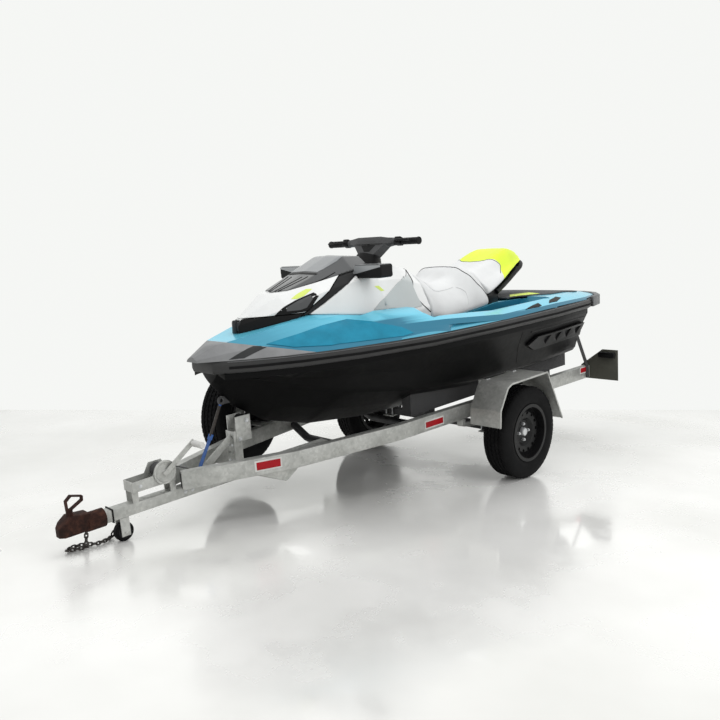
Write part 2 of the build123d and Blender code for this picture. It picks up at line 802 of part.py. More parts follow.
for piece, name in ((tyre, "tyre"), (rim, "rim"), (hub, "hub")):
    write(piece.part, f"{name}_port", port_wheel_frame)
    starboard_wheel_frame = trailer_frame * Location((0, -wheel_y, wheel_radius))
    write(mirror(piece.part, about=Plane.XZ), f"{name}_starboard", starboard_wheel_frame)
spare_place = Location((spare_x, spare_y, spare_z), (0, 0, spare_yaw))
spare_frame = trailer_frame * spare_place
write(mirror(tyre.part, about=Plane.XZ), "spare_tyre", spare_frame)
write(mirror(rim.part, about=Plane.XZ), "spare_rim", spare_frame)


def rail_y(x):
    """Middle of the port rail in plan, behind its shoulder."""
    front = (rail_shoulder_x, rail_shoulder_y) if x > rail_knee_x else (rail_knee_x, rail_knee_y)
    rear = (rail_knee_x, rail_knee_y) if x > rail_knee_x else (rail_rear_x, rail_rear_y)
    return rear[1] + (x - rear[0]) / (front[0] - rear[0]) * (front[1] - rear[1])


def rail_run(line_width, low, high):
    """Upright wall along the port rail's plan line."""
    with BuildPart() as run:
        with BuildSketch(Plane.XY.offset(low)):
            with BuildLine():
                FilletPolyline(
                    (rail_nose_x, rail_nose_y), (rail_shoulder_x, rail_shoulder_y), (rail_knee_x, rail_knee_y),
                    (rail_rear_x, rail_rear_y), radius=rail_bend_radius,
                )
            trace(line_width=line_width)
        extrude(amount=high - low)
    return run.part


# Frame rails run back from the drawbar's nose, spreading to the sides, with a tie gusset under each
gusset_depth, gusset_front_x, gusset_low_x, gusset_rear_x = 65, 1690, 1535, 1460
gusset_side = [(gusset_front_x, rail_bottom), (gusset_low_x, rail_bottom - gusset_depth),
               (gusset_rear_x, rail_bottom)]
rail_bar = rail_run(rail_width, rail_bottom, rail_top)
with BuildPart() as rail:
    add(rail_run(2 * sheet, rail_bottom - gusset_depth, rail_bottom))
    add(side_prism(gusset_side, 0, 2 * rail_rear_y), mode=Mode.INTERSECT)
    add(rail_bar)
rail_twin = mirror(rail.part, about=Plane.XZ)
with BuildPart() as rails:
    add(rail.part)
    add(rail_twin)
write(rails.part, "rails")

# Reflectors on the rails' outer sides: front and rear ends, low and high edges
reflector_places = [(1690, 1572, 424, 464), (612, 462, 418, 452), (-1062, -1166, 446, 480)]
with BuildPart() as reflectors:
    for front_x, back_x, low, high in reflector_places:
        skin = rail_run(rail_width + 2 * sheet, low, high) - rail_bar - rail_bar.moved(Pos(0, -2 * sheet, 0))
        add(skin & block(back_x, front_x, 0, 2 * rail_rear_y, low, high))
    mirror(about=Plane.XZ)
write(reflectors.part, "reflectors")

with BuildPart() as drawbar:
    add(block(drawbar_rear_x, drawbar_front_x, -drawbar_width / 2, drawbar_width / 2, drawbar_bottom, rail_bottom))
write(drawbar.part, "drawbar")

# Sagging cross tubes between the rails, with the uprights that hold the bunks
cross_xs = (1000, 430, -900)
cross_z = rail_bottom + cross_tube_radius + 10
bunk_bottom = 485
with BuildPart() as cross_members:
    for x in cross_xs:
        reach = rail_y(x) - rail_width / 2
        with BuildLine() as path:
            FilletPolyline((x, -reach, cross_z), (x, -200, cross_z - cross_sag), (x, 200, cross_z - cross_sag),
                           (x, reach, cross_z), radius=120)
        with BuildSketch(Plane(origin=(x, -reach, cross_z), x_dir=(1, 0, 0), z_dir=path.line % 0)):
            Circle(cross_tube_radius)
        sweep(path=path.line)
    add(rail.part, mode=Mode.SUBTRACT)
    add(rail_twin, mode=Mode.SUBTRACT)
    for x in cross_xs[1:]:
        for side in (1, -1):
            add(block(x - 25, x + 25, side * bunk_middle_y - 20, side * bunk_middle_y + 20,
                      cross_z - cross_sag / 2, bunk_bottom))
write(cross_members.part, "cross_members")

hull_on_trailer = hull.part.moved(Location((craft_x, 0, craft_z)))
with BuildPart() as bunks:
    add(block(bunk_rear_x, bunk_front_x, bunk_middle_y - bunk_width / 2, bunk_middle_y + bunk_width / 2,
              bunk_bottom, 620))
    add(hull_on_trailer, mode=Mode.SUBTRACT)
    mirror(about=Plane.XZ)
bunk_solids = [solid for solid in bunks.part.solids() if solid.bounding_box().min.Z < bunk_bottom + 1]
with BuildPart() as bunks_kept:
    add(bunk_solids)
write(bunks_kept.part, "bunks")

with BuildPart() as axle:
    add(block(-axle_beam_size / 2, axle_beam_size / 2, -axle_beam_reach, axle_beam_reach,
              wheel_radius - axle_beam_size / 2, wheel_radius + axle_beam_size / 2))
    for side in (1, -1):
        with Locations(Location((0, side * (axle_beam_reach - 5), wheel_radius), (-90 * side, 0, 0))):
            Cylinder(axle_pin_radius, wheel_y + 8 - axle_beam_reach, align=(Align.CENTER, Align.CENTER, Align.MIN))
write(axle.part, "axle")

# Leaf springs stand on the axle and hang from the rails
spring_reach, spring_thickness, spring_width = 280, 20, 45
axle_top = wheel_radius + axle_beam_size / 2
with BuildPart() as springs:
    with BuildSketch(Plane.XZ.offset(-rail_y(0) + spring_width / 2)):
        with BuildLine():
            ThreePointArc((-spring_reach, rail_bottom - 34), (0, axle_top + 12 + spring_thickness / 2),
                          (spring_reach, rail_bottom - 34))
        trace(line_width=spring_thickness)
        for side in (1, -1):
            with Locations((side * spring_reach, rail_bottom - 20)):
                Rectangle(30, 40)
        with Locations((0, axle_top + 10)):
            Rectangle(90, 20)
    extrude(amount=-spring_width)
    mirror(about=Plane.XZ)
write(springs.part, "springs")

# Folded fenders with their brackets to the rails
fender_inner_y, fender_outer_y, bracket_y = wheel_y - 108, wheel_y + 110, 505
fender_lip = 10
fender_line = [(352, 400), (344, 500), (264, 622), (222, 640), (-168, 640), (-334, 310)]
with BuildPart() as fender:
    with BuildSketch(Plane.XZ.offset(-fender_inner_y)):
        with BuildLine():
            Polyline(fender_line)
        trace(line_width=sheet)
    extrude(amount=-(fender_outer_y - fender_inner_y))
    with BuildSketch(Plane.XZ.offset(-fender_outer_y)):
        with BuildLine():
            Polyline(fender_line)
        trace(line_width=fender_lip)
    extrude(amount=fender_lip)
    for x in (180, -100):
        add(block(x - 20, x + 20, bracket_y, fender_inner_y + 14, 632, 640 - sheet / 2))
        add(block(x - 20, x + 20, bracket_y, bracket_y + 5, rail_bottom + 15, 640 - sheet / 2))
        add(block(x - 20, x + 20, rail_y(x), bracket_y + 5, rail_bottom + 15, rail_bottom + 23))
    add(rail.part, mode=Mode.SUBTRACT)
with BuildPart() as fenders:
    add(fender.part)
    mirror(about=Plane.XZ)
write(fenders.part, "fenders")

# Winch post: a channel with bolt holes, the plates of the bow stop and a brace to the drawbar
post_top = rail_bottom + post_height
post_wall, post_hole_radius, post_hole_pitch, post_holes = 5, 7, 42, 4
brace_top, brace_foot_x = post_top - 15, 1935
brace_side = [(post_x + 25, brace_top - 45), (post_x + 25, brace_top), (brace_foot_x, rail_bottom + 25),
              (brace_foot_x, rail_bottom), (brace_foot_x - 40, rail_bottom)]
roller_x, roller_z, roller_radius, roller_half = post_x - 60, post_top + 45, 26, 35
with BuildPart() as winch_post:
    add(block(post_x - 25, post_x + 25, -post_width / 2, post_width / 2, rail_bottom, post_top))
    add(block(post_x - 26, post_x + 25 - post_wall, post_wall - post_width / 2, post_width / 2 - post_wall,
              rail_bottom + post_wall, post_top), mode=Mode.SUBTRACT)
    for step in range(post_holes):
        for side in (1, -1):
            with Locations(Location((post_x + 22, side * 16, rail_bottom + 45 + step * post_hole_pitch), (0, 90, 0))):
                Cylinder(post_hole_radius, 20, mode=Mode.SUBTRACT)
    add(side_prism(brace_side, -4, 4))
    for side in (1, -1):
        plate_y = side * (roller_half + sheet)
        add(block(post_x - 85, post_x + 10, plate_y - sheet, plate_y + sheet, post_top - 60, post_top + 75))
write(winch_post.part, "winch_post")
with BuildPart() as bow_roller:
    with Locations(Location((roller_x, 0, roller_z), (90, 0, 0))):
        Cylinder(roller_radius, 2 * roller_half)
write(bow_roller.part, "bow_roller")

# Winch: folded side plates on a bridge stand, a flanged drum with its strap, and a crank
stand_top, stand_half, stand_rear_x, stand_front_x = 452, 32, winch_x - 60, winch_x + 170
plate_half, drum_radius, drum_flange_radius, drum_half, shaft_radius = 42, 22, 44, 38, 12
winch_plate = [
    (stand_rear_x, stand_top - 5), (stand_front_x, stand_top - 5), (stand_front_x, stand_top + 45),
    (winch_x + 62, stand_top + 48),
    (winch_x + 34, winch_drum_z + 42), (winch_x - 34, winch_drum_z + 42), (stand_rear_x, winch_drum_z),
]
with BuildPart() as winch_stand:
    add(block(stand_rear_x, stand_front_x, -plate_half, plate_half, stand_top - 5, stand_top))
    for x in (stand_rear_x, stand_front_x - 30):
        add(block(x, x + 30, -stand_half, stand_half, rail_bottom, stand_top))
        add(block(x - 1, x + 31, 6 - stand_half, stand_half - 6, rail_bottom - 1, stand_top - 5), mode=Mode.SUBTRACT)
    for side in (1, -1):
        add(side_prism(winch_plate, side * plate_half - 2, side * plate_half + 2))
    add(block(stand_front_x - 4, stand_front_x, -plate_half, plate_half, stand_top - 5, stand_top + 45))
    with Locations(Location((winch_x, 0, winch_drum_z), (90, 0, 0))):
        Cylinder(shaft_radius + bead_clearance, 120, mode=Mode.SUBTRACT)
write(winch_stand.part, "winch_stand")
with BuildPart() as winch_drum:
    with Locations(Location((winch_x, 0, winch_drum_z), (90, 0, 0))):
        Cylinder(drum_radius, 2 * drum_half)
        Cylinder(shaft_radius, 120)
    for side in (1, -1):
        with Locations(Location((winch_x, side * (drum_half - 2), winch_drum_z), (90, 0, 0))):
            Cylinder(drum_flange_radius, 4)
write(winch_drum.part, "winch_drum")
crank_angle, crank_length, crank_y = 35, 190, 64
with BuildPart() as winch_crank:
    with Locations(Location((winch_x, crank_y, winch_drum_z), (0, crank_angle, 0))):
        with Locations(Pos(-crank_length / 2, 0, 0)):
            Box(crank_length + 30, 8, 24)
    crank_end = (winch_x - crank_length * cos(radians(crank_angle)), crank_y + 4,
                 winch_drum_z + crank_length * sin(radians(crank_angle)))
    with Locations(Location(crank_end, (-90, 0, 0))):
        Cylinder(13, 90, align=(Align.CENTER, Align.CENTER, Align.MIN))
write(winch_crank.part, "winch_crank")


def ribbon(start, end, width, thickness):
    """Flat strap between two (x, z) points of the middle plane."""
    run, rise = end[0] - start[0], end[1] - start[1]
    middle = Location(((start[0] + end[0]) / 2, 0, (start[1] + end[1]) / 2), (0, -degrees(atan2(rise, run)), 0))
    return middle * Box(hypot(run, rise), width, thickness, mode=Mode.PRIVATE)


# Winch strap: turns on the drum, then a taut run to its hook on the brace
strap_thickness, strap_turns_radius = 3, 36
strap_leave = (winch_x - 15, winch_drum_z + strap_turns_radius - 4)
strap_hook = (brace_foot_x - 30, rail_bottom + 52)
with BuildPart() as winch_strap:
    with Locations(Location((winch_x, 0, winch_drum_z), (90, 0, 0))):
        Cylinder(strap_turns_radius, 2 * (drum_half - 4) - 2)
        Cylinder(drum_radius + bead_clearance, 2 * drum_half, mode=Mode.SUBTRACT)
    add(ribbon(strap_leave, strap_hook, 30, strap_thickness))
    add(winch_post.part, mode=Mode.SUBTRACT)
write(winch_strap.part, "winch_strap")

# Bow strap: webbing from the brace, then a hook's shank to the bow eye
eye_on_trailer = (craft_x + bow_eye_x, craft_z + bow_eye_z)
strap_foot, strap_joint = (1893, 446), (1806, 600)
with BuildPart() as bow_strap:
    add(ribbon(strap_foot, strap_joint, 26, strap_thickness))
    add(ribbon(strap_joint, (eye_on_trailer[0] + 9, eye_on_trailer[1] - 18), 10, 10))
    add(ribbon((strap_joint[0] + 9, strap_joint[1] - 16), (strap_joint[0] - 5, strap_joint[1] + 9), 32, 8))
    add(winch_post.part, mode=Mode.SUBTRACT)
    add(winch_strap.part, mode=Mode.SUBTRACT)
    add(bow_eye.part.moved(Location((craft_x, 0, craft_z))), mode=Mode.SUBTRACT)
write(bow_strap.part, "bow_strap")

# Jockey wheel and its fork under the drawbar
with BuildPart() as jockey_fork:
    for side in (1, -1):
        add(block(jockey_x - 22, jockey_x + 22, side * 26 - 3, side * 26 + 3, jockey_axle_z - 18, drawbar_bottom))
    with Locations(Location((jockey_x, 0, jockey_axle_z), (90, 0, 0))):
        Cylinder(jockey_pin_radius, 70)
write(jockey_fork.part, "jockey_fork")
with BuildPart() as jockey_wheel:
    with Locations(Location((jockey_x, 0, jockey_axle_z), (90, 0, 0))):
        Cylinder(jockey_radius, jockey_width)
        Cylinder(jockey_pin_radius + running_clearance, jockey_width, mode=Mode.SUBTRACT)
    chamfer(jockey_wheel.edges().filter_by(GeomType.CIRCLE).group_by(SortBy.RADIUS)[-1], 6)
write(jockey_wheel.part, "jockey_wheel")

# Cast coupler: a sloping nose over the ball socket, a collar on the drawbar and a bent-bar handle
ball_radius, ball_clearance = 25, 0.5
ball_x = 2590
coupler_top, coupler_half, nose_reach = 425, 38, 42
collar_radius, collar_rear_x = 44, drawbar_front_x - 72
coupler_side = [
    (drawbar_front_x, drawbar_bottom), (ball_x + nose_reach, drawbar_bottom),
    (ball_x + nose_reach, drawbar_bottom + 42),
    (ball_x - 12, coupler_top), (drawbar_front_x, coupler_top - 8),
]
nose_chamfer = 20
handle_x, handle_bar, handle_half, stub_radius, stub_height = ball_x - 22, 6, 12, 15, 26
handle_loop = [
    (handle_x - 8, coupler_top + stub_height - 4), (handle_x + 12, coupler_top + stub_height - 4),
    (handle_x + 14, coupler_top + 68), (handle_x - 12, coupler_top + 90), (handle_x - 66, coupler_top + 74),
    (handle_x - 64, coupler_top + 52),
]
with BuildPart() as coupler:
    add(side_prism(coupler_side, -coupler_half, coupler_half))
    chamfer(coupler.edges().filter_by(Axis.Z).group_by(Axis.X)[-1], nose_chamfer)
    with Locations(Location((collar_rear_x, 0, (drawbar_bottom + rail_bottom) / 2), (0, 90, 0))):
        Cylinder(collar_radius, drawbar_front_x + 12 - collar_rear_x, align=(Align.CENTER, Align.CENTER, Align.MIN))
    add(drawbar.part, mode=Mode.SUBTRACT)
    with Locations(Pos(handle_x, 0, coupler_top - 10)):
        Cylinder(stub_radius, stub_height + 10, align=(Align.CENTER, Align.CENTER, Align.MIN))
    with BuildSketch(Plane.XZ.offset(-handle_half)):
        with BuildLine():
            Polyline(handle_loop, close=True)
        make_face()
        offset(amount=-handle_bar, mode=Mode.SUBTRACT)
    extrude(amount=2 * handle_half)
    with Locations(Pos(ball_x, 0, drawbar_bottom)):
        Cylinder(ball_radius + ball_clearance, 50, align=(Align.CENTER, Align.CENTER, Align.MIN), mode=Mode.SUBTRACT)
write(coupler.part, "coupler")

# Safety chain from the coupler to a heap on the floor and back to the drawbar, in the parked frame
link_length, link_width, link_wire = 30, 20, 5.5
link_pitch = link_length - 2 * link_wire - 0.5
chain_route = [
    (1886, 0, 104), (1890, 0, 14), (1934, -12, 12), (1968, -22, 12), (1944, -46, 12), (1900, -50, 12),
    (1862, -30, 12), (1826, -16, 12), (1780, -28, 12), (1742, -56, 12), (1706, -60, 60), (1690, -44, 112),
]
with BuildPart() as chain_link:
    with BuildSketch():
        SlotOverall(link_length, link_width)
        SlotOverall(link_length - 2 * link_wire, link_width - 2 * link_wire, mode=Mode.SUBTRACT)
    extrude(amount=link_wire / 2, both=True)
chain_line = Wire.make_polygon([Vector(*point) for point in chain_route], close=False)
link_count = int(chain_line.length / link_pitch) + 1
with BuildPart() as safety_chain:
    for step in range(link_count):
        share = step * link_pitch / chain_line.length
        along = chain_line.tangent_at(share)
        across = along.cross(Vector(0, 1, 0)).normalized()
        face = across if step % 2 else along.cross(across)
        add(Plane(origin=chain_line.position_at(share), x_dir=along, z_dir=face) * chain_link.part)
    add(coupler.part.moved(trailer_frame), mode=Mode.SUBTRACT)
    add(drawbar.part.moved(trailer_frame), mode=Mode.SUBTRACT)
write(safety_chain.part, "safety_chain", Location())

# Rear plates with their lamps
with BuildPart() as lamp_plates:
    with BuildSketch(Plane.YZ.offset(rail_rear_x)):
        with BuildLine():
            Polyline([
                (plate_inner_y, plate_bottom), (plate_outer_y, plate_bottom), (plate_outer_y, plate_top),
                (plate_outer_y - 120, plate_top), (plate_inner_y, rail_top),
            ], close=True)
        make_face()
    extrude(amount=-4)
    add(rail.part, mode=Mode.SUBTRACT)
    mirror(about=Plane.XZ)
write(lamp_plates.part, "lamp_plates")
with BuildPart() as tail_lamps:
    add(block(rail_rear_x - 44, rail_rear_x - 4, 545, 700, 420, 520))
    fillet(tail_lamps.edges().group_by(Axis.X)[0], 10)
    mirror(about=Plane.XZ)
write(tail_lamps.part, "tail_lamps")

# Spare wheel carrier off the starboard rail
spare_arm_z = rail_top - spare_z
with BuildPart() as spare_carrier_form:
    add(block(-40, 40, -16, 170, spare_arm_z, spare_arm_z + 6))
    add(block(-40, 40, -16, -8, spare_arm_z, 70))
spare_carrier = spare_carrier_form.part.moved(spare_place)
write(spare_carrier, "spare_carrier")
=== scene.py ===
"""Looks for a personal watercraft on its road trailer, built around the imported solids.

Metres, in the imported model's frame. Shapes on the craft or the trailer are written in that
carrier's own level frame, with X to the bow, Y to port and Z up, and then moved by its matrix.
"""

import json
from math import atan2, cos, pi, radians, sin, sqrt, tan

import bmesh
import bpy
from mathutils import Matrix, Vector
from mathutils.bvhtree import BVHTree


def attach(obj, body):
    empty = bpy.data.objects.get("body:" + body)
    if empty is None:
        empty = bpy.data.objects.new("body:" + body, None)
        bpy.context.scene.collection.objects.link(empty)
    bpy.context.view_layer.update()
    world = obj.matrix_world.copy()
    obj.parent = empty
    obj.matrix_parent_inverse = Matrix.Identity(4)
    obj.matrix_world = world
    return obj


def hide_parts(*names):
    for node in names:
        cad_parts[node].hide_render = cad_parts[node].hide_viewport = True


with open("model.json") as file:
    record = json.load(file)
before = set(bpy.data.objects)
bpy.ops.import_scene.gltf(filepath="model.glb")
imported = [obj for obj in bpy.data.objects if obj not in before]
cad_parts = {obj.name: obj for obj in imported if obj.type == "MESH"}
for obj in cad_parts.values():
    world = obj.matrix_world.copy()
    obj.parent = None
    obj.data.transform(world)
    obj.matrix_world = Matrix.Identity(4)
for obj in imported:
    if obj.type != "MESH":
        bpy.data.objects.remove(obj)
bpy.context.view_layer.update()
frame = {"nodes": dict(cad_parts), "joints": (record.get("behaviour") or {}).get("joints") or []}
nodes = frame["nodes"]
joints = {joint["name"]: joint for joint in frame["joints"]}

# The two carriers' frames, from the joints and the craft's place on its trailer
axle = Vector(joints["wheel_port_turn"]["pos_m"])
wheel_y = axle.y
wheel_radius = axle.z
axle.y = 0
craft_up = joints["nozzle_turn"]["axis"]
park_angle = atan2(craft_up[0], craft_up[2])
trailer = (Matrix.Translation(axle) @ Matrix.Rotation(park_angle, 4, "Y")
           @ Matrix.Translation((0, 0, -wheel_radius)))
CRAFT_X, CRAFT_Z = -1.440, 0.440
craft = trailer @ Matrix.Translation((CRAFT_X, 0, CRAFT_Z))


# Materials

def new_material(name, color, roughness, metallic=0.0, **sockets):
    """A principled material: (material, node tree, shader)."""
    material = bpy.data.materials.new(name)
    material.use_nodes = True
    tree = material.node_tree
    shader = tree.nodes["Principled BSDF"]
    shader.inputs["Base Color"].default_value = (*color, 1)
    shader.inputs["Roughness"].default_value = roughness
    shader.inputs["Metallic"].default_value = metallic
    for socket, value in sockets.items():
        shader.inputs[socket.replace("_", " ")].default_value = value
    return material, tree, shader


def position(tree):
    """Object coordinates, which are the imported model's metres."""
    return tree.nodes.new("ShaderNodeTexCoord").outputs["Object"]


def noise(tree, scale, detail=4, roughness=0.55):
    """Cloudy noise from 0 to 1, with so many waves to a metre."""
    node = tree.nodes.new("ShaderNodeTexNoise")
    node.inputs["Scale"].default_value = scale
    node.inputs["Detail"].default_value = detail
    node.inputs["Roughness"].default_value = roughness
    tree.links.new(position(tree), node.inputs["Vector"])
    return node.outputs["Fac"]


def cells(tree, scale):
    """Outputs of a cell pattern, with so many cells to a metre."""
    node = tree.nodes.new("ShaderNodeTexVoronoi")
    node.inputs["Scale"].default_value = scale
    tree.links.new(position(tree), node.inputs["Vector"])
    return node.outputs


def wave(tree, scale, direction):
    """Parallel ribs from 0 to 1."""
    node = tree.nodes.new("ShaderNodeTexWave")
    node.inputs["Scale"].default_value = scale
    node.bands_direction = direction
    tree.links.new(position(tree), node.inputs["Vector"])
    return node.outputs["Fac"]


def ramp(tree, factor, stops):
    """Colour ramp through (place, colour) stops."""
    node = tree.nodes.new("ShaderNodeValToRGB")
    elements = node.color_ramp.elements
    while len(elements) < len(stops):
        elements.new(0.5)
    for element, (place, color) in zip(elements, stops):
        element.position = place
        element.color = (*color, 1)
    tree.links.new(factor, node.inputs["Fac"])
    return node.outputs["Color"]


def tint(tree, shader, factor, stops):
    """Colours a shader by a ramp."""
    tree.links.new(ramp(tree, factor, stops), shader.inputs["Base Color"])


def roughen(tree, shader, scale, low, high):
    """Varies a shader's roughness by noise, from low to high."""
    node = tree.nodes.new("ShaderNodeMapRange")
    node.inputs["To Min"].default_value = low
    node.inputs["To Max"].default_value = high
    tree.links.new(noise(tree, scale), node.inputs["Value"])
    tree.links.new(node.outputs["Result"], shader.inputs["Roughness"])


def multiplied(tree, one, other, factor):
    """One colour times another, by a share."""
    mix = tree.nodes.new("ShaderNodeMix")
    mix.data_type = "RGBA"
    mix.blend_type = "MULTIPLY"
    mix.inputs["Factor"].default_value = factor
    tree.links.new(one, mix.inputs["A"])
    tree.links.new(other, mix.inputs["B"])
    return mix.outputs["Result"]


def bump(tree, shader, height, strength, distance):
    """Gives a shader a fine relief."""
    node = tree.nodes.new("ShaderNodeBump")
    node.inputs["Strength"].default_value = strength
    node.inputs["Distance"].default_value = distance
    tree.links.new(height, node.inputs["Height"])
    tree.links.new(node.outputs["Normal"], shader.inputs["Normal"])


def shade(color, factor):
    """A lighter or darker tone of a colour."""
    return tuple(channel * factor for channel in color)


def gloss_paint(name, color, metallic=0.0):
    """Moulded-in or sprayed gloss: a clear coat with a faint ripple."""
    material, tree, shader = new_material(name, color, 0.3, metallic, Coat_Weight=0.7, Coat_Roughness=0.06)
    tint(tree, shader, noise(tree, 5), [(0.3, shade(color, 0.93)), (0.7, color)])
    roughen(tree, shader, 22, 0.24, 0.38)
    bump(tree, shader, noise(tree, 180, 2), 0.04, 0.001)
    return material


def flake_gelcoat(name, color, painted_shade_color):
    """Metallic gelcoat with faint flakes. Its steep facets get a darker colour by how far their normal leans
    from up, which is painted shade.
    """
    material, tree, shader = new_material(name, color, 0.30, 0.35, Coat_Weight=0.3, Coat_Roughness=0.05)
    normal = tree.nodes.new("ShaderNodeSeparateXYZ")
    tree.links.new(tree.nodes.new("ShaderNodeNewGeometry").outputs["Normal"], normal.inputs[0])
    # Painted shade: the lower the normal's height, the more the colour turns to the darker one.
    slope_shade = ramp(tree, normal.outputs["Z"], [(0.72, painted_shade_color), (0.90, color)])
    flakes = ramp(tree, noise(tree, 900, 1), [(0.35, (0.86, 0.86, 0.86)), (0.65, (1, 1, 1))])
    tree.links.new(multiplied(tree, slope_shade, flakes, 0.06), shader.inputs["Base Color"])
    roughen(tree, shader, 22, 0.26, 0.34)
    return material


def moulded_plastic(name, color, roughness, grain=900, specular=0.25):
    """Plain moulded plastic with a fine leather grain."""
    material, tree, shader = new_material(name, color, roughness, Specular_IOR_Level=specular)
    tint(tree, shader, noise(tree, 9), [(0.3, shade(color, 0.8)), (0.75, shade(color, 1.15))])
    roughen(tree, shader, 30, roughness - 0.08, roughness + 0.1)
    bump(tree, shader, noise(tree, grain, 2), 0.12, 0.0006)
    return material


def vinyl(name, color):
    """Seat cover: soft sheen and a pebbled grain."""
    material, tree, shader = new_material(name, color, 0.55, Sheen_Weight=0.15)
    tint(tree, shader, noise(tree, 6), [(0.3, shade(color, 0.88)), (0.7, color)])
    bump(tree, shader, cells(tree, 700)["Distance"], 0.18, 0.0008)
    return material


def zinc(name, color):
    """Zinc-coated or cast metal: spangles and dull stains."""
    material, tree, shader = new_material(name, color, 0.5, 0.6)
    spangle = ramp(tree, cells(tree, 70)["Color"], [(0.1, shade(color, 0.9)), (0.9, shade(color, 1.12))])
    stain = ramp(tree, noise(tree, 7, 6, 0.65), [(0.38, shade(color, 0.7)), (0.6, (1, 1, 1))])
    tree.links.new(multiplied(tree, spangle, stain, 0.35), shader.inputs["Base Color"])
    roughen(tree, shader, 16, 0.36, 0.62)
    bump(tree, shader, noise(tree, 120, 3), 0.1, 0.001)
    return material


def rusted(name):
    """Brown rust over a casting."""
    material, tree, shader = new_material(name, (0.028, 0.011, 0.008), 0.8, 0.1, Specular_IOR_Level=0.25)
    tint(tree, shader, noise(tree, 28, 8, 0.7), [
        (0.3, (0.008, 0.004, 0.003)), (0.5, (0.028, 0.011, 0.008)), (0.72, (0.075, 0.030, 0.019)),
    ])
    bump(tree, shader, noise(tree, 160, 8, 0.75), 0.5, 0.002)
    return material


def rubber(name, color):
    """Dull rubber with worn patches."""
    material, tree, shader = new_material(name, color, 0.75, Specular_IOR_Level=0.12)
    tint(tree, shader, noise(tree, 12, 6), [(0.3, shade(color, 0.7)), (0.72, shade(color, 1.6))])
    bump(tree, shader, noise(tree, 260, 4), 0.2, 0.0008)
    return material


def carpet(name, color):
    """Short pile, deep in relief."""
    material, tree, shader = new_material(name, color, 0.95, Sheen_Weight=0.4)
    tint(tree, shader, noise(tree, 350, 3), [(0.3, shade(color, 0.5)), (0.7, shade(color, 2.4))])
    bump(tree, shader, noise(tree, 900, 3), 0.7, 0.003)
    return material


def traction_mat(name, color):
    """Foam deck mat with rows of small grooves."""
    material, tree, shader = new_material(name, color, 0.85)
    tint(tree, shader, noise(tree, 60, 4), [(0.3, shade(color, 0.8)), (0.7, shade(color, 1.15))])
    bump(tree, shader, wave(tree, 40, "Y"), 0.5, 0.002)
    return material


def webbing(name, color):
    """Woven strap: fine ribs and a soft sheen."""
    material, tree, shader = new_material(name, color, 0.8, Sheen_Weight=0.2)
    ribs = wave(tree, 260, "DIAGONAL")
    tint(tree, shader, ribs, [(0.2, shade(color, 0.55)), (0.8, shade(color, 1.3))])
    bump(tree, shader, ribs, 0.4, 0.0006)
    return material


materials = {
    # The teal's second colour is painted shade for its steep facets.
    "teal": flake_gelcoat("teal_gelcoat", (0.128, 0.55, 0.73), (0.018, 0.17, 0.27)),
    "white": gloss_paint("white_gloss", (0.71, 0.72, 0.715)),
    # A darker teal laid on the deck's steep front flanks as painted shade.
    "flank_shade_teal": moulded_plastic("flank_painted_shade", (0.016, 0.20, 0.31), 0.35, specular=0.12),
    # A grey for the console's facets that lie in shade: painted shade.
    "console_shade": gloss_paint("console_shade_grey", (0.42, 0.455, 0.455)),
    "black_hull": moulded_plastic("black_hull", (0.0018, 0.0018, 0.0020), 0.42, grain=500, specular=0.10),
    "band": moulded_plastic("band_plastic", (0.028, 0.028, 0.0285), 0.45, specular=0.35),
    "charcoal": moulded_plastic("charcoal_plastic", (0.012, 0.012, 0.0125), 0.45),
    "grey": moulded_plastic("grey_plastic", (0.10, 0.103, 0.106), 0.42, specular=0.5),
    "pale_grey": moulded_plastic("pale_grey_plastic", (0.20, 0.204, 0.208), 0.42, specular=0.5),
    "dark_grey": moulded_plastic("dark_grey_plastic", (0.028, 0.029, 0.030), 0.42),
    "neck_grey": moulded_plastic("neck_grey_plastic", (0.052, 0.053, 0.055), 0.42, specular=0.4),
    "visor": gloss_paint("visor_grey", (0.052, 0.054, 0.057)),
    "screen": gloss_paint("visor_screen", (0.17, 0.18, 0.19)),
    "silver": gloss_paint("silver_plastic", (0.36, 0.37, 0.38), 0.5),
    "black": moulded_plastic("black_plastic", (0.0045, 0.0045, 0.0048), 0.42, specular=0.18),
    "lens": gloss_paint("dark_lens", (0.035, 0.037, 0.040)),
    "seat": vinyl("seat_vinyl", (0.64, 0.65, 0.65)),
    "lime": gloss_paint("lime_paint", (0.60, 0.72, 0.13)),
    "lime_vinyl": vinyl("lime_vinyl", (0.66, 0.82, 0.03)),
    "piping": vinyl("black_piping", (0.012, 0.012, 0.013)),
    "zinc": zinc("galvanised", (0.50, 0.505, 0.485)),
    "rust": rusted("rusted_iron"),
    "rubber": rubber("tyre_rubber", (0.005, 0.005, 0.0053)),
    "wheel_black": moulded_plastic("wheel_paint", (0.007, 0.007, 0.0075), 0.42, grain=300),
    "bright": zinc("bright_zinc", (0.68, 0.69, 0.70)),
    "carpet": carpet("bunk_carpet", (0.012, 0.012, 0.013)),
    "dark_steel": zinc("dark_steel", (0.06, 0.06, 0.062)),
    "chain": zinc("chain_steel", (0.055, 0.048, 0.044)),
    "mat": traction_mat("deck_mat", (0.075, 0.078, 0.082)),
    "olive": moulded_plastic("lamp_board", (0.075, 0.075, 0.062), 0.55),
    "red": moulded_plastic("lamp_red", (0.34, 0.008, 0.014), 0.4, specular=0.2),
    "pale": moulded_plastic("pale_border", (0.62, 0.62, 0.60), 0.4),
    "amber": gloss_paint("lamp_amber", (0.62, 0.20, 0.01)),
    "aluminium": zinc("cast_aluminium", (0.62, 0.63, 0.64)),
    "webbing": webbing("black_webbing", (0.012, 0.012, 0.013)),
    "blue_webbing": webbing("blue_webbing", (0.03, 0.11, 0.36)),
}

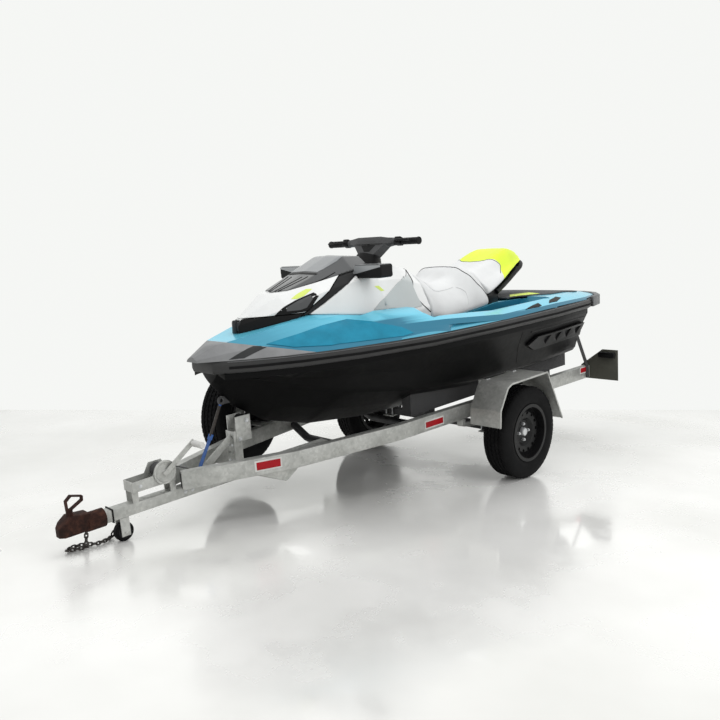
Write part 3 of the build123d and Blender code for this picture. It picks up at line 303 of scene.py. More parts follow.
NODE_MATERIALS = {
    "teal": ["deck"],
    "white": ["hood", "console"],
    "black_hull": ["hull"],
    "band": ["gunwale_band"],
    "charcoal": ["sponsons", "glovebox_lid", "ride_plate", "cowl"],
    "grey": ["stern_bumpers"],
    "pale_grey": ["bow_cap"],
    "neck_grey": ["steering_neck"],
    "visor": ["visor"],
    "black": ["nose_grille", "grab_handle", "grips", "handlebar", "engine", "pump_housing", "mirrors"],
    "seat": ["seat_front", "seat_rear"],
    "zinc": ["rails", "drawbar", "fenders", "winch_post", "winch_stand", "winch_drum", "springs",
             "spare_carrier", "jockey_fork", "winch_crank"],
    "rust": ["coupler"],
    "rubber": ["tyre_port", "tyre_starboard", "spare_tyre", "jockey_wheel", "bow_roller"],
    "wheel_black": ["rim_port", "rim_starboard", "spare_rim"],
    "bright": ["hub_port", "hub_starboard"],
    "carpet": ["bunks"],
    "dark_steel": ["cross_members", "axle", "bow_eye"],
    "chain": ["safety_chain"],
    "mat": ["footwell_mats", "stern_mat"],
    "olive": ["lamp_plates"],
    "red": ["tail_lamps", "reflectors"],
    "aluminium": ["impeller", "steering_nozzle", "reverse_bucket"],
    "webbing": ["winch_strap"],
    "blue_webbing": ["bow_strap"],
}


# Softened edges on the solids

KEPT_SHARP, ROUNDED_FROM = radians(30), radians(25)
WELD_REACH = 0.0002
EDGE_RADII = {
    0.010: ["deck"],
    0.008: ["hood"],
    0.007: ["bow_cap", "gunwale_band"],
    0.005: ["steering_neck"],
    0.004: ["hull", "nose_grille", "grab_handle", "stern_bumpers", "sponsons", "drawbar", "rails",
            "pump_housing"],
    0.002: ["winch_post", "coupler", "glovebox_lid", "winch_crank", "jockey_fork", "springs",
            "winch_stand", "spare_carrier"],
    0.001: ["fenders", "lamp_plates", "tail_lamps", "reflectors"],
}
# Smoothing passes for the moulded shells
MOULDED = {"visor": 6, "console": 5, "cowl": 6, "mirrors": 5}
MOULD_VOXEL = 0.005


def smooth_by_angle():
    """Geometry nodes group that shades faces smooth and keeps the sharper edges."""
    group = bpy.data.node_groups.new("smooth_by_angle", "GeometryNodeTree")
    group.interface.new_socket("Geometry", in_out="INPUT", socket_type="NodeSocketGeometry")
    group.interface.new_socket("Geometry", in_out="OUTPUT", socket_type="NodeSocketGeometry")
    make = group.nodes.new
    start, end = make("NodeGroupInput"), make("NodeGroupOutput")
    faces, edges = make("GeometryNodeSetShadeSmooth"), make("GeometryNodeSetShadeSmooth")
    edges.domain = "EDGE"
    angle = make("GeometryNodeInputMeshEdgeAngle")
    compare = make("FunctionNodeCompare")
    compare.operation = "GREATER_THAN"
    compare.inputs[1].default_value = KEPT_SHARP
    link = group.links.new
    link(start.outputs[0], faces.inputs["Geometry"])
    link(faces.outputs[0], edges.inputs["Geometry"])
    link(angle.outputs["Unsigned Angle"], compare.inputs[0])
    link(compare.outputs[0], edges.inputs["Selection"])
    edges.inputs["Shade Smooth"].default_value = False
    link(edges.outputs[0], end.inputs[0])
    return group


smooth_group = smooth_by_angle()


def shaded(piece):
    """Smooth faces with their sharp edges kept."""
    piece.modifiers.new("smooth", "NODES").node_group = smooth_group
    return piece


def soften(piece, width):
    """Rounds the sharper edges of a piece."""
    piece.modifiers.new("weld", "WELD").merge_threshold = WELD_REACH
    bevel = piece.modifiers.new("edges", "BEVEL")
    bevel.width = width
    bevel.segments = 2
    bevel.limit_method = "ANGLE"
    bevel.angle_limit = ROUNDED_FROM
    shaded(piece)


def mould(piece, passes):
    """Melts the facets of a moulded shell into flowing curves."""
    piece.modifiers.new("voxels", "REMESH").voxel_size = MOULD_VOXEL
    flow = piece.modifiers.new("flow", "SMOOTH")
    flow.factor = 0.5
    flow.iterations = passes
    shaded(piece)


for key, names in NODE_MATERIALS.items():
    for name in names:
        nodes[name].data.materials.clear()
        nodes[name].data.materials.append(materials[key])
for width, names in EDGE_RADII.items():
    for name in names:
        soften(nodes[name], width)
for name, passes in MOULDED.items():
    mould(nodes[name], passes)


# Building blocks for the pieces

SIDES = (1, -1)
X_AXIS, Y_AXIS, Z_AXIS = (1, 0, 0), (0, 1, 0), (0, 0, 1)
PANEL_CUTS = 6
BEAD_SIDES = 6
# A bolt's washer and head, as (radius, height) in shares of its size
WASHER = [(0, 0), (1.1, 0), (1.1, 0.2), (0.9, 0.24), (0, 0.24)]
HEX_HEAD = [(0.8, 0.2), (0.8, 0.75), (0.62, 0.85), (0, 0.85)]


def add_mesh(name, bm, material, body):
    """A piece from a bmesh that is already in the row's frame."""
    mesh = bpy.data.meshes.new(name)
    bm.to_mesh(mesh)
    bm.free()
    mesh.materials.append(materials[material])
    piece = bpy.data.objects.new(name, mesh)
    bpy.context.scene.collection.objects.link(piece)
    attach(piece, body)
    return piece


def add_closed(name, bm, material, body):
    """A piece from a closed bmesh, with its faces turned outwards."""
    bmesh.ops.recalc_face_normals(bm, faces=bm.faces)
    return add_mesh(name, bm, material, body)


def placed(carrier, point, side=1):
    """A place of a carrier's frame, or its starboard twin, in the row's frame."""
    x, y, z = point
    return carrier @ Vector((x, side * y, z))


def spline(values, place):
    """Value of a smooth line through equally spaced values, at a place counted in steps."""
    k = min(max(int(place), 0), len(values) - 2)
    t = place - k
    before, a, b, after = (values[min(max(n, 0), len(values) - 1)] for n in range(k - 1, k + 3))
    return 0.5 * (2 * a + (b - before) * t + (2 * before - 5 * a + 4 * b - after) * t * t
                  + (3 * a - before - 3 * b + after) * t ** 3)


def flowing(points, steps):
    """A smooth line through places, with a number of steps between neighbours."""
    vectors = [Vector(point) for point in points]
    return [spline(vectors, k / steps) for k in range((len(points) - 1) * steps + 1)]


def along(line, k):
    """Direction of a line of places at one of them."""
    return (line[min(k + 1, len(line) - 1)] - line[max(k - 1, 0)]).normalized()


def angles(count):
    """Equal steps round a circle."""
    return [2 * pi * n / count for n in range(count)]


def skin_into(bm, rings, capped=True):
    """Faces between neighbouring rings, where a ring of one place is a tip."""
    for low, high in zip(rings, rings[1:]):
        for n in range(max(len(low), len(high))):
            quad = [ring[k % len(ring)] for ring, k in ((low, n), (low, n + 1), (high, n + 1), (high, n))]
            bm.faces.new(list(dict.fromkeys(quad)))
    if capped:
        bm.faces.new(rings[0][::-1])
        bm.faces.new(rings[-1])


def tube_into(bm, line, radius, sides):
    """A round rod along a line of places."""
    rings = []
    up = Vector(Z_AXIS) if abs((line[1] - line[0]).normalized().z) < 0.9 else Vector(X_AXIS)
    for k, place in enumerate(line):
        ahead = along(line, k)
        side = ahead.cross(up).normalized()
        up = side.cross(ahead)
        rings.append([bm.verts.new(place + (side * cos(a) + up * sin(a)) * radius) for a in angles(sides)])
    skin_into(bm, rings)


def rods(name, lines, radius, material, body, carrier, steps=1, sides=8, mirrored=False):
    """Round rods along lines in a carrier's frame."""
    bm = bmesh.new()
    for points in lines:
        for side in SIDES if mirrored else SIDES[:1]:
            tube_into(bm, [placed(carrier, point, side) for point in flowing(points, steps)], radius, sides)
    shaded(add_closed(name, bm, material, body))


def box_into(bm, carrier, low, high):
    """A box between two corners of a carrier's frame."""
    (x0, y0, z0), (x1, y1, z1) = low, high
    skin_into(bm, [[bm.verts.new(placed(carrier, (x, y, z)))
                    for x, y in ((x0, y0), (x0, y1), (x1, y1), (x1, y0))] for z in (z0, z1)])


def boxes(name, corners, material, body, carrier, edge, mirrored=False):
    """Boxes with rounded edges, from (low, high) corners in a carrier's frame."""
    bm = bmesh.new()
    for low, high in corners:
        box_into(bm, carrier, low, high)
        if mirrored:
            box_into(bm, carrier, (low[0], -high[1], low[2]), (high[0], -low[1], high[2]))
    soften(add_closed(name, bm, material, body), edge)


trees = {}


def face_tree(piece):
    """Search tree of a piece's faces."""
    mesh = piece.data
    return BVHTree.FromPolygons([v.co for v in mesh.vertices], [p.vertices for p in mesh.polygons])


def surface(name):
    """Search tree of a node, or of a cover that has stored its own."""
    if name not in trees:
        trees[name] = face_tree(nodes[name])
    return trees[name]


def laid(node, place, lift):
    """The nearest point of a node's surface, lifted off it."""
    spot, normal, _, _ = surface(node).find_nearest(place)
    return spot + normal * lift


def panel_into(bm, node, outline, lift, grid):
    """A thin panel on a node's surface, inside an outline in the row's frame."""
    sheet = bmesh.new()
    sheet.faces.new([sheet.verts.new(point) for point in outline])
    bmesh.ops.triangulate(sheet, faces=sheet.faces)
    for _ in range(PANEL_CUTS):
        long_edges = [edge for edge in sheet.edges if edge.calc_length() > grid]
        if not long_edges:
            break
        bmesh.ops.subdivide_edges(sheet, edges=long_edges, cuts=1)
        bmesh.ops.triangulate(sheet, faces=sheet.faces)
    for vert in sheet.verts:
        vert.co = laid(node, vert.co, lift)
    copies = {vert: bm.verts.new(vert.co) for vert in sheet.verts}
    for face in sheet.faces:
        facing = surface(node).find_nearest(face.calc_center_median())[1]
        corners = [copies[vert] for vert in face.verts]
        if not bm.faces.get(corners):
            bm.faces.new(corners if face.normal.dot(facing) >= 0 else corners[::-1])
    sheet.free()


def panel(name, node, outlines, material, body="rig", carrier=craft, lift=0.001, depth=0.003, grid=0.02):
    """Inlaid panels on both sides of a node, from outlines in a carrier's frame."""
    bm = bmesh.new()
    for outline in outlines:
        for side in SIDES:
            panel_into(bm, node, [placed(carrier, point, side) for point in outline], lift, grid)
    bm.normal_update()
    piece = add_mesh(name, bm, material, body)
    solid = piece.modifiers.new("depth", "SOLIDIFY")
    solid.thickness = depth
    solid.offset = -1
    shaded(piece)


def bead(name, node, lines, radius, material, lift, body="rig", steps=6):
    """Round beads that follow both sides of a node on the craft, such as piping and joints."""
    bm = bmesh.new()
    for points in lines:
        for side in SIDES:
            line = [laid(node, placed(craft, point, side), lift) for point in flowing(points, steps)]
            tube_into(bm, line, radius, BEAD_SIDES)
    shaded(add_closed(name, bm, material, body))


def lathe_into(bm, carrier, profile, segments):
    """A form turned about the carrier's Y axis, from (radius, y) points."""
    rings = []
    for r, y in profile:
        turns = angles(segments) if r else [0]
        rings.append([bm.verts.new(carrier @ Vector((r * cos(a), y, r * sin(a)))) for a in turns])
    skin_into(bm, rings, capped=False)


def turned(name, forms, segments, material, body):
    """A piece of turned forms, from their carriers and profiles."""
    bm = bmesh.new()
    for carrier, profile in forms:
        lathe_into(bm, carrier, profile, segments)
    shaded(add_closed(name, bm, material, body))


def bolts(name, places, axis, size):
    """Hex heads on washers on both sides of the trailer, pointing along an axis."""
    bm = bmesh.new()
    turn = Vector(Y_AXIS).rotation_difference(Vector(axis)).to_matrix().to_4x4()
    for x, y, z in places:
        for side in SIDES:
            spot = trailer @ Matrix.Translation((x, side * y, z))
            there = spot @ Matrix.Scale(side, 4, Y_AXIS) @ turn
            for profile, segments in ((WASHER, 20), (HEX_HEAD, 6)):
                lathe_into(bm, there, [(r * size, height * size) for r, height in profile], segments)
    shaded(add_closed(name, bm, "bright", "rig"))


def strip(name, points, width, thickness, material, body):
    """A taut flat strap through places of the row's frame, with its breadth along X."""
    bm = bmesh.new()
    rings = []
    for k, place in enumerate(points):
        ahead = along(points, k)
        across = Vector(X_AXIS).cross(ahead).normalized()
        wide, thick = ahead.cross(across) * (width / 2), across * (thickness / 2)
        corners = (wide + thick, wide - thick, -wide - thick, thick - wide)
        rings.append([bm.verts.new(place + corner) for corner in corners])
    skin_into(bm, rings)
    add_closed(name, bm, material, body)


# Seats: crowned vinyl covers over foam, with sewn seams and black piping

# station, base y, side y, side z, top y, top z
FRONT_SEAT = [
    (1.197, 0.285, 0.216, 0.760, 0.130, 0.822),
    (1.260, 0.290, 0.228, 0.782, 0.142, 0.852),
    (1.330, 0.290, 0.230, 0.788, 0.142, 0.862),
    (1.450, 0.288, 0.212, 0.740, 0.130, 0.796),
    (1.620, 0.286, 0.206, 0.740, 0.118, 0.788),
    (1.720, 0.286, 0.212, 0.768, 0.112, 0.840),
    (1.788, 0.286, 0.216, 0.792, 0.110, 0.874),
]
REAR_SEAT = [
    (0.575, 0.120, 0.112, 0.866, 0.074, 0.892),
    (0.640, 0.172, 0.158, 0.866, 0.110, 0.926),
    (0.760, 0.202, 0.184, 0.850, 0.124, 0.944),
    (1.000, 0.260, 0.208, 0.800, 0.136, 0.872),
    (1.193, 0.284, 0.215, 0.762, 0.130, 0.824),
]
# A pan's depth, middle and reach along the craft
FRONT_PAN, REAR_PAN = (0.012, 1.56, 0.17), (0.004, 0.95, 0.22)
FRONT_SEAM_Y, REAR_SEAM_Y = 0.112, 0.108
SEAM_DEPTH, SEAM_HALF = 0.0035, 0.009
SEAT_GAP, SEAT_EDGE, SEAT_LEAST_SIDE = 0.0015, 0.016, 0.012
SEAT_STATIONS, SEAT_AROUND = 72, 44
BED_LINE = [(0.430, 0.590), (1.120, 0.610), (1.650, 0.558), (2.070, 0.655)]
GRAB_X, GRAB_Z, GRAB_SLOPE, GRAB_THICKNESS = 1.130, 0.660, radians(18.8), 0.028
# Planes that bound the rear seat's lime end on the port side, by a place and a normal
LIME_BOUNDS = [
    ((1.000, 0, 0), (0.085, 0.015, 0)),
    ((0.985, 0.085, 0), (0.093, 0.078, 0)),
    ((0.907, 0, 0.844), (0.069, 0, 0.051)),
]
LIME_SIDE_Y = 0.165


def bed_z(x):
    """Height of the bed under a seat."""
    for (x0, z0), (x1, z1) in zip(BED_LINE, BED_LINE[1:]):
        if x <= x1:
            return z0 + (z1 - z0) * (x - x0) / (x1 - x0)


def grab_top_z(x):
    """Height of the slanting grab frame's top, which carries the rear seat."""
    return max(bed_z(x), GRAB_Z + (GRAB_X - x) * tan(GRAB_SLOPE) + GRAB_THICKNESS / cos(GRAB_SLOPE))


def at_station(table, x):
    """A table's row at a station, on smooth lines between its rows."""
    xs = [row[0] for row in table]
    k = max(n for n in range(len(xs) - 1) if xs[n] <= x)
    place = k + (x - xs[k]) / (xs[k + 1] - xs[k])
    return [spline([row[c] for row in table], place) for c in range(1, 6)]


def beyond(place, bound):
    """How far a place of the craft's frame lies ahead of a bounding plane."""
    return (place - Vector(bound[0])).dot(Vector(bound[1]))


def lime_end(bm):
    """Cuts the faces along the bounds and gives those behind them the second material."""
    turn = craft.to_3x3()
    for spot, facing in LIME_BOUNDS:
        for side in SIDES:
            bmesh.ops.bisect_plane(
                bm, geom=bm.verts[:] + bm.edges[:] + bm.faces[:],
                plane_co=placed(craft, spot, side), plane_no=placed(turn, facing, side),
            )
    back = craft.inverted()
    for face in bm.faces:
        place = back @ face.calc_center_median()
        place.y = abs(place.y)
        nose, slant, flank = (beyond(place, bound) < 0 for bound in LIME_BOUNDS)
        face.material_index = int(nose and slant or flank and place.y > LIME_SIDE_Y)


def seat_section(table, x, low):
    """The port half of a cover at a station, from its underside to its crown."""
    base_y, side_y, side_z, top_y, top_z = at_station(table, x)
    side_z = max(side_z, low + SEAT_LEAST_SIDE)
    half = [
        (base_y * 0.5, low), (base_y - 0.006, low + 0.002), (base_y - 0.001, low + (side_z - low) * 0.4),
        (side_y + 0.004, side_z), (top_y + 0.012, top_z - 0.004), (top_y * 0.45, top_z + 0.006),
        (0, top_z + 0.007),
    ]
    points = [Vector((0, y, z)) for y, z in half]
    return [spline(points, (len(points) - 1) * n / SEAT_AROUND) for n in range(SEAT_AROUND + 1)]


def seat_cover(name, node, table, base_of, seam_y, pan, end_color=None):
    """A closed padded form on its bed, with a seam along each side of its dished pan."""
    pan_depth, pan_middle, pan_reach = pan
    x0, x1 = table[0][0] + SEAT_GAP, table[-1][0] - SEAT_GAP
    bm = bmesh.new()
    rings = []
    for k in range(SEAT_STATIONS + 1):
        x = x0 + (x1 - x0) * (0.5 - 0.5 * cos(pi * k / SEAT_STATIONS))
        low = base_of(x) + SEAT_GAP
        end = min(x - x0, x1 - x, SEAT_EDGE)
        inset = SEAT_EDGE - sqrt(max(SEAT_EDGE ** 2 - (SEAT_EDGE - end) ** 2, 0))
        port = []
        for n, point in enumerate(seat_section(table, x, low)):
            y, z = max(point.y - inset, 0), point.z
            if n > SEAT_AROUND / 2:
                dish = max(0, 1 - ((x - pan_middle) / pan_reach) ** 2) * max(0, 1 - (y / seam_y) ** 2)
                seam = max(0, 1 - ((y - seam_y) / SEAM_HALF) ** 2)
                z -= inset + pan_depth * dish + SEAM_DEPTH * seam
            port.append((x, y, max(z, low)))
        ring = [placed(craft, point) for point in port]
        ring += [placed(craft, point, -1) for point in reversed(port[:-1])]
        rings.append([bm.verts.new(point) for point in ring])
    skin_into(bm, rings)
    if end_color:
        lime_end(bm)
    cover = shaded(add_closed(name, bm, "seat", "rig"))
    if end_color:
        cover.data.materials.append(materials[end_color])
    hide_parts(node)
    trees[name] = face_tree(cover)


seat_cover("front_seat_cover", "seat_front", FRONT_SEAT, bed_z, FRONT_SEAM_Y, FRONT_PAN)
seat_cover("rear_seat_cover", "seat_rear", REAR_SEAT, grab_top_z, REAR_SEAM_Y, REAR_PAN, "lime_vinyl")

# Piping follows the seams that show on the near side, and its twin on the far one
bead("console_piping", "console", [[
    (1.800, 0.0, 0.885), (1.815, 0.100, 0.880), (1.851, 0.190, 0.842), (1.895, 0.242, 0.790),
    (1.892, 0.265, 0.730), (1.850, 0.286, 0.671), (1.797, 0.287, 0.630),
]], 0.0035, "piping", 0.0005)
bead("front_seat_piping", "front_seat_cover", [[
    (1.334, 0.0, 0.870), (1.336, 0.110, 0.863), (1.333, 0.179, 0.831), (1.313, 0.207, 0.800),
    (1.280, 0.243, 0.750), (1.235, 0.262, 0.705), (1.206, 0.284, 0.650),
]], 0.003, "piping", 0.0005)
bead("seat_folds", "front_seat_cover", [
    [(1.445, 0.214, 0.745), (1.400, 0.245, 0.700), (1.425, 0.288, 0.630)],
    [(1.720, 0.172, 0.800), (1.690, 0.215, 0.750), (1.600, 0.210, 0.735), (1.470, 0.205, 0.745)],
], 0.0022, "seat", 0.0004)
bead("rear_seat_piping", "rear_seat_cover", [[
    (1.000, 0.0, 0.880), (0.992, 0.050, 0.880), (0.985, 0.085, 0.880), (0.946, 0.132, 0.876),
    (0.907, 0.178, 0.844), (0.932, 0.200, 0.810), (0.958, 0.214, 0.775),
]], 0.0022, "piping", 0.0004)
rods("grab_rail", [[
    (1.075, 0.266, 0.674), (0.920, 0.238, 0.724), (0.760, 0.206, 0.780), (0.650, 0.180, 0.818),
    (0.575, 0.120, 0.842), (0.556, 0.0, 0.848),
]], 0.017, "black", "rig", craft, steps=6, sides=12, mirrored=True)


# Tyres: a turned carcass whose tread blocks are cut by grooves and slanting sipes

RIM_RADIUS = 0.165
GROOVES = (-0.040, -0.0135, 0.0135, 0.040)
GROOVE_HALF, GROOVE_DEPTH = 0.0045, 0.007
SEGMENTS, BLOCKS = 240, 60
# A sipe runs on by so many segments in so much breadth
SIPE_RUN, SIPE_BREADTH = 3.2, 0.02
SIPE_DEPTH, SHOULDER_SIPE_DEPTH, SHOULDER_DROP = 0.005, 0.003, 0.016
# The side wall by its height over the rim, the shoulder by its drop from the tread, each with its y
SIDE_WALL = [
    (0.001, 0.060), (0.010, 0.0735), (0.022, 0.080), (0.036, 0.0845), (0.052, 0.0870), (0.056, 0.0862),
    (0.060, 0.0870), (0.084, 0.0822),
]
SHOULDER = [(0.014, 0.0755), (0.006, 0.0690), (0.0025, 0.0625)]
# One groove and its lands: the drop from the tread, the place beside the groove's middle, the kind
GROOVE_SECTION = [
    (0.001, GROOVE_HALF + 0.012, "block"),
    (0.0005, GROOVE_HALF, "block"),
    (GROOVE_DEPTH, GROOVE_HALF - 0.001, "groove"),
    (GROOVE_DEPTH, 0.001 - GROOVE_HALF, "groove"),
    (0.0005, -GROOVE_HALF, "block"),
    (0.001, -GROOVE_HALF - 0.004, "block"),
]
VALVE = [(0.140, 0.040), (0.137, 0.052), (0.132, 0.066)]
HUB_CAP = [(0.0, 0.0475), (0.012, 0.0472), (0.022, 0.044), (0.0255, 0.038), (0.0262, 0.022), (0.0255, 0.020)]
SPARE_PLACE, SPARE_YAW = (1.280, -0.470, 0.535), radians(15)


def tyre_profile():
    """(radius, y, kind) round the tyre, kind telling plain rubber from tread blocks and grooves."""
    side = [(RIM_RADIUS + rise, y, "plain") for rise, y in SIDE_WALL]
    side += [(wheel_radius - drop, y, "plain") for drop, y in SHOULDER]
    tread = [(wheel_radius - drop, middle + offset, kind)
             for middle in reversed(GROOVES) for drop, offset, kind in GROOVE_SECTION]
    return side + tread + [(r, -y, kind) for r, y, kind in reversed(side)]


def tyre(name, node, body, place, flip):
    """A tyre about its wheel's axis: flip is -1 for the starboard side."""
    bm = bmesh.new()
    rings = []
    for r, y, kind in tyre_profile():
        depth = 0
        if kind == "block":
            depth = SIPE_DEPTH
        elif kind == "plain" and r > wheel_radius - SHOULDER_DROP:
            depth = SHOULDER_SIPE_DEPTH
        ring = []
        for n, turn in enumerate(angles(SEGMENTS)):
            in_sipe = (n + SIPE_RUN * abs(y) / SIPE_BREADTH) % (SEGMENTS / BLOCKS) < 1
            radius = r - depth if in_sipe else r
            ring.append(bm.verts.new(place @ Vector((radius * cos(turn), flip * y, radius * sin(turn)))))
        rings.append(ring)
    skin_into(bm, rings + rings[:1], capped=False)
    piece = shaded(add_closed(name, bm, "rubber", body))
    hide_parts(node)


wheel_turn = Matrix.Rotation(park_angle, 4, "Y")
port_hub = Matrix.Translation((axle.x, wheel_y, wheel_radius)) @ wheel_turn
starboard_hub = Matrix.Translation((axle.x, -wheel_y, wheel_radius)) @ wheel_turn
spare_hub = trailer @ Matrix.Translation(SPARE_PLACE) @ Matrix.Rotation(SPARE_YAW, 4, "Z")
ROAD_WHEELS = [
    ("port", "tyre_port", "wheel_port", port_hub, 1),
    ("starboard", "tyre_starboard", "wheel_starboard", starboard_hub, -1),
]
for side, node, body, hub, flip in ROAD_WHEELS + [("spare", "spare_tyre", "rig", spare_hub, -1)]:
    tyre(f"tyre_{side}_treaded", node, body, hub, flip)
    rods(f"valve_{side}", [[(x, flip * y, 0.0) for x, y in VALVE]], 0.004, "black", body, hub, steps=3)
for side, _, body, hub, flip in ROAD_WHEELS:
    turned(f"hub_cap_{side}", [(hub, [(r, flip * y) for r, y in HUB_CAP])], 40, "bright", body)


# Hood, visor, nose, mirrors and console

LENS = [
    (2.822, 0.149, 0.747), (2.816, 0.148, 0.767), (2.737, 0.164, 0.800), (2.644, 0.190, 0.828),
    (2.640, 0.204, 0.812), (2.692, 0.196, 0.757), (2.737, 0.182, 0.746),
]
LENS_SHARE = 0.82
lens_middle = sum((Vector(point) for point in LENS), Vector()) / len(LENS)

panel("lens_surround", "hood", [[
    (2.870, 0.133, 0.735), (2.822, 0.146, 0.778), (2.737, 0.162, 0.810), (2.640, 0.190, 0.840),
    (2.622, 0.208, 0.815), (2.690, 0.205, 0.742),
]], "black", "storage_lid", lift=0.0015, depth=0.004)
panel("lens", "hood", [[lens_middle + (Vector(point) - lens_middle) * LENS_SHARE for point in LENS]],
      "lens", "storage_lid", lift=0.004, depth=0.004)
panel("hood_accent", "hood", [[
    (2.756, 0.139, 0.813), (2.712, 0.139, 0.834), (2.655, 0.149, 0.855), (2.629, 0.168, 0.853),
    (2.690, 0.169, 0.822), (2.730, 0.157, 0.810),
]], "lime", "storage_lid", lift=0.0012)
boxes("nose_clip", [
    ((2.996, -0.030, 0.672), (3.032, 0.030, 0.722)),
    ((3.010, -0.012, 0.664), (3.042, 0.012, 0.730)),
], "dark_grey", "rig", craft, 0.007)
panel("visor_screen", "visor", [[
    (2.535, 0.0, 0.945), (2.530, 0.112, 0.930), (2.400, 0.128, 0.985), (2.330, 0.112, 1.005),
    (2.320, 0.0, 1.010),
]], "screen", "storage_lid", lift=0.002, depth=0.004, grid=0.025)
panel("visor_vent", "visor", [[
    (2.562, 0.0, 0.930), (2.556, 0.118, 0.920), (2.540, 0.121, 0.926), (2.543, 0.0, 0.938),
]], "black", "storage_lid", lift=0.0015)
bead("visor_ribs", "visor", [
    [(2.580, 0.085, 0.915), (2.680, 0.062, 0.880), (2.760, 0.040, 0.852)],
    [(2.590, 0.045, 0.917), (2.690, 0.030, 0.880), (2.765, 0.018, 0.852)],
    [(2.450, 0.165, 0.925), (2.560, 0.155, 0.890), (2.680, 0.110, 0.862)],
], 0.0035, "black", -0.001, "storage_lid")
panel("mirror_caps", "mirrors", [[
    (2.270, 0.240, 0.958), (2.356, 0.240, 0.958), (2.356, 0.418, 0.956), (2.270, 0.418, 0.956),
]], "silver", depth=0.004)
panel("mirror_wedges", "mirrors", [[
    (2.362, 0.215, 0.955), (2.362, 0.425, 0.955), (2.362, 0.425, 0.945), (2.362, 0.215, 0.905),
]], "silver")
panel("mirror_glass", "mirrors", [[
    (2.262, 0.250, 0.945), (2.262, 0.415, 0.945), (2.262, 0.415, 0.898), (2.262, 0.250, 0.898),
]], "bright")
# Grey panels on the console's sides aft of its ridge, where the facet lies in shade: painted shade.
panel("console_shade_panels", "console", [[
    (1.862, 0.178, 0.862), (2.039, 0.247, 0.828), (2.153, 0.276, 0.776), (2.234, 0.287, 0.740),
    (2.295, 0.294, 0.702), (2.150, 0.290, 0.690), (1.980, 0.288, 0.668), (1.872, 0.284, 0.676),
    (1.890, 0.262, 0.725), (1.897, 0.240, 0.792), (1.884, 0.212, 0.836),
]], "console_shade", lift=0.006, depth=0.009)
panel("console_accent", "console", [[
    (2.250, 0.262, 0.830), (2.215, 0.266, 0.830), (2.175, 0.275, 0.800), (2.205, 0.272, 0.797),
]], "lime")
bead("console_joint", "console", [[
    (2.100, 0.275, 0.745), (2.060, 0.262, 0.795), (1.986, 0.237, 0.837), (1.880, 0.180, 0.862),
    (1.815, 0.110, 0.880),
]], 0.002, "dark_grey", -0.0004)


# Steering: black sheets of painted shade for the recesses, and shrouds, switch pods, levers and grips on the
# raked column

STEER_PLACE, STEER_TILT, BAR_RISE = (2.010, 0, 0.975), radians(24), 0.100
COLLAR = [
    (0.095, -0.060), (0.088, -0.035), (0.080, -0.010), (0.073, 0.010), (0.069, 0.011), (0.067, 0.004),
    (0.067, -0.050),
]
GRIP_RIB = [(0.0185, -0.0035), (0.0203, -0.002), (0.0203, 0.002), (0.0185, 0.0035)]
GRIP_RIBS, GRIP_INNER_Y, GRIP_PITCH, GRIP_CAP_Y = 9, 0.262, 0.0125, 0.372
GRIP_CAP = [(0.0, -0.008), (0.0205, -0.008), (0.0225, -0.004), (0.0215, 0.004), (0.0, 0.005)]
steer = craft @ Matrix.Translation(STEER_PLACE) @ Matrix.Rotation(-STEER_TILT, 4, "Y")
bar = steer @ Matrix.Translation((0, 0, BAR_RISE))

# Black sheets on the steering neck's top and front stand for the shade in its recesses: painted shade.
panel("cover_recess_shade", "steering_neck", [[
    (0.0, 0.0, 0.125), (0.020, 0.085, 0.123), (-0.015, 0.090, 0.123), (-0.024, 0.0, 0.123),
]], "black", "steering", steer)
panel("neck_recess_shade", "steering_neck", [[
    (0.034, 0.022, 0.030), (0.034, 0.060, 0.072), (0.034, 0.0, 0.074), (0.034, 0.0, 0.030),
]], "black", "steering", steer)
rods("bar_shrouds", [[(0.002, 0.085, 0.004), (0.001, 0.140, 0.003), (0.0, 0.196, 0.0)]],
     0.0235, "neck_grey", "steering", bar, steps=4, sides=14, mirrored=True)
boxes("switch_pods", [((-0.021, 0.196, -0.022), (0.026, 0.244, 0.024))],
      "black", "steering", bar, 0.007, mirrored=True)
rods("levers", [[
    (0.022, 0.205, -0.004), (0.046, 0.235, -0.008), (0.052, 0.290, -0.010), (0.046, 0.345, -0.014),
]], 0.0055, "black", "steering", bar, steps=6, mirrored=True)
turned("column_collar", [(steer @ Matrix.Rotation(radians(90), 4, "X"), COLLAR)], 40, "black", "rig")
grip_forms = []
for side in SIDES:
    for k in range(GRIP_RIBS):
        rib_y = side * (GRIP_INNER_Y + GRIP_PITCH * k)
        grip_forms.append((bar @ Matrix.Translation((0, rib_y, 0)), GRIP_RIB))
    cap = bar @ Matrix.Translation((0, side * GRIP_CAP_Y, 0))
    grip_forms.append((cap, [(r, side * y) for r, y in GRIP_CAP]))
turned("grip_ribs", grip_forms, 24, "black", "steering")


# Deck, band and stern

BAND_EDGE = [
    (0.060, 0.415), (0.170, 0.505), (0.420, 0.582), (0.900, 0.622), (1.600, 0.624), (2.150, 0.592),
    (2.600, 0.484), (2.900, 0.362), (3.100, 0.236), (3.200, 0.150),
]
# The sills over the band, by their line in plan and a section of (inset, z)
SILL_LINE = [
    (1.330, 0.6235, 0), (1.500, 0.6240, 0), (1.700, 0.6200, 0), (1.900, 0.6100, 0), (2.070, 0.5980, 0),
    (2.210, 0.5770, 0), (2.350, 0.5470, 0),
]
SILL_SECTION = [(-0.004, 0.5565), (-0.045, 0.586), (-0.066, 0.586), (-0.066, 0.5565)]

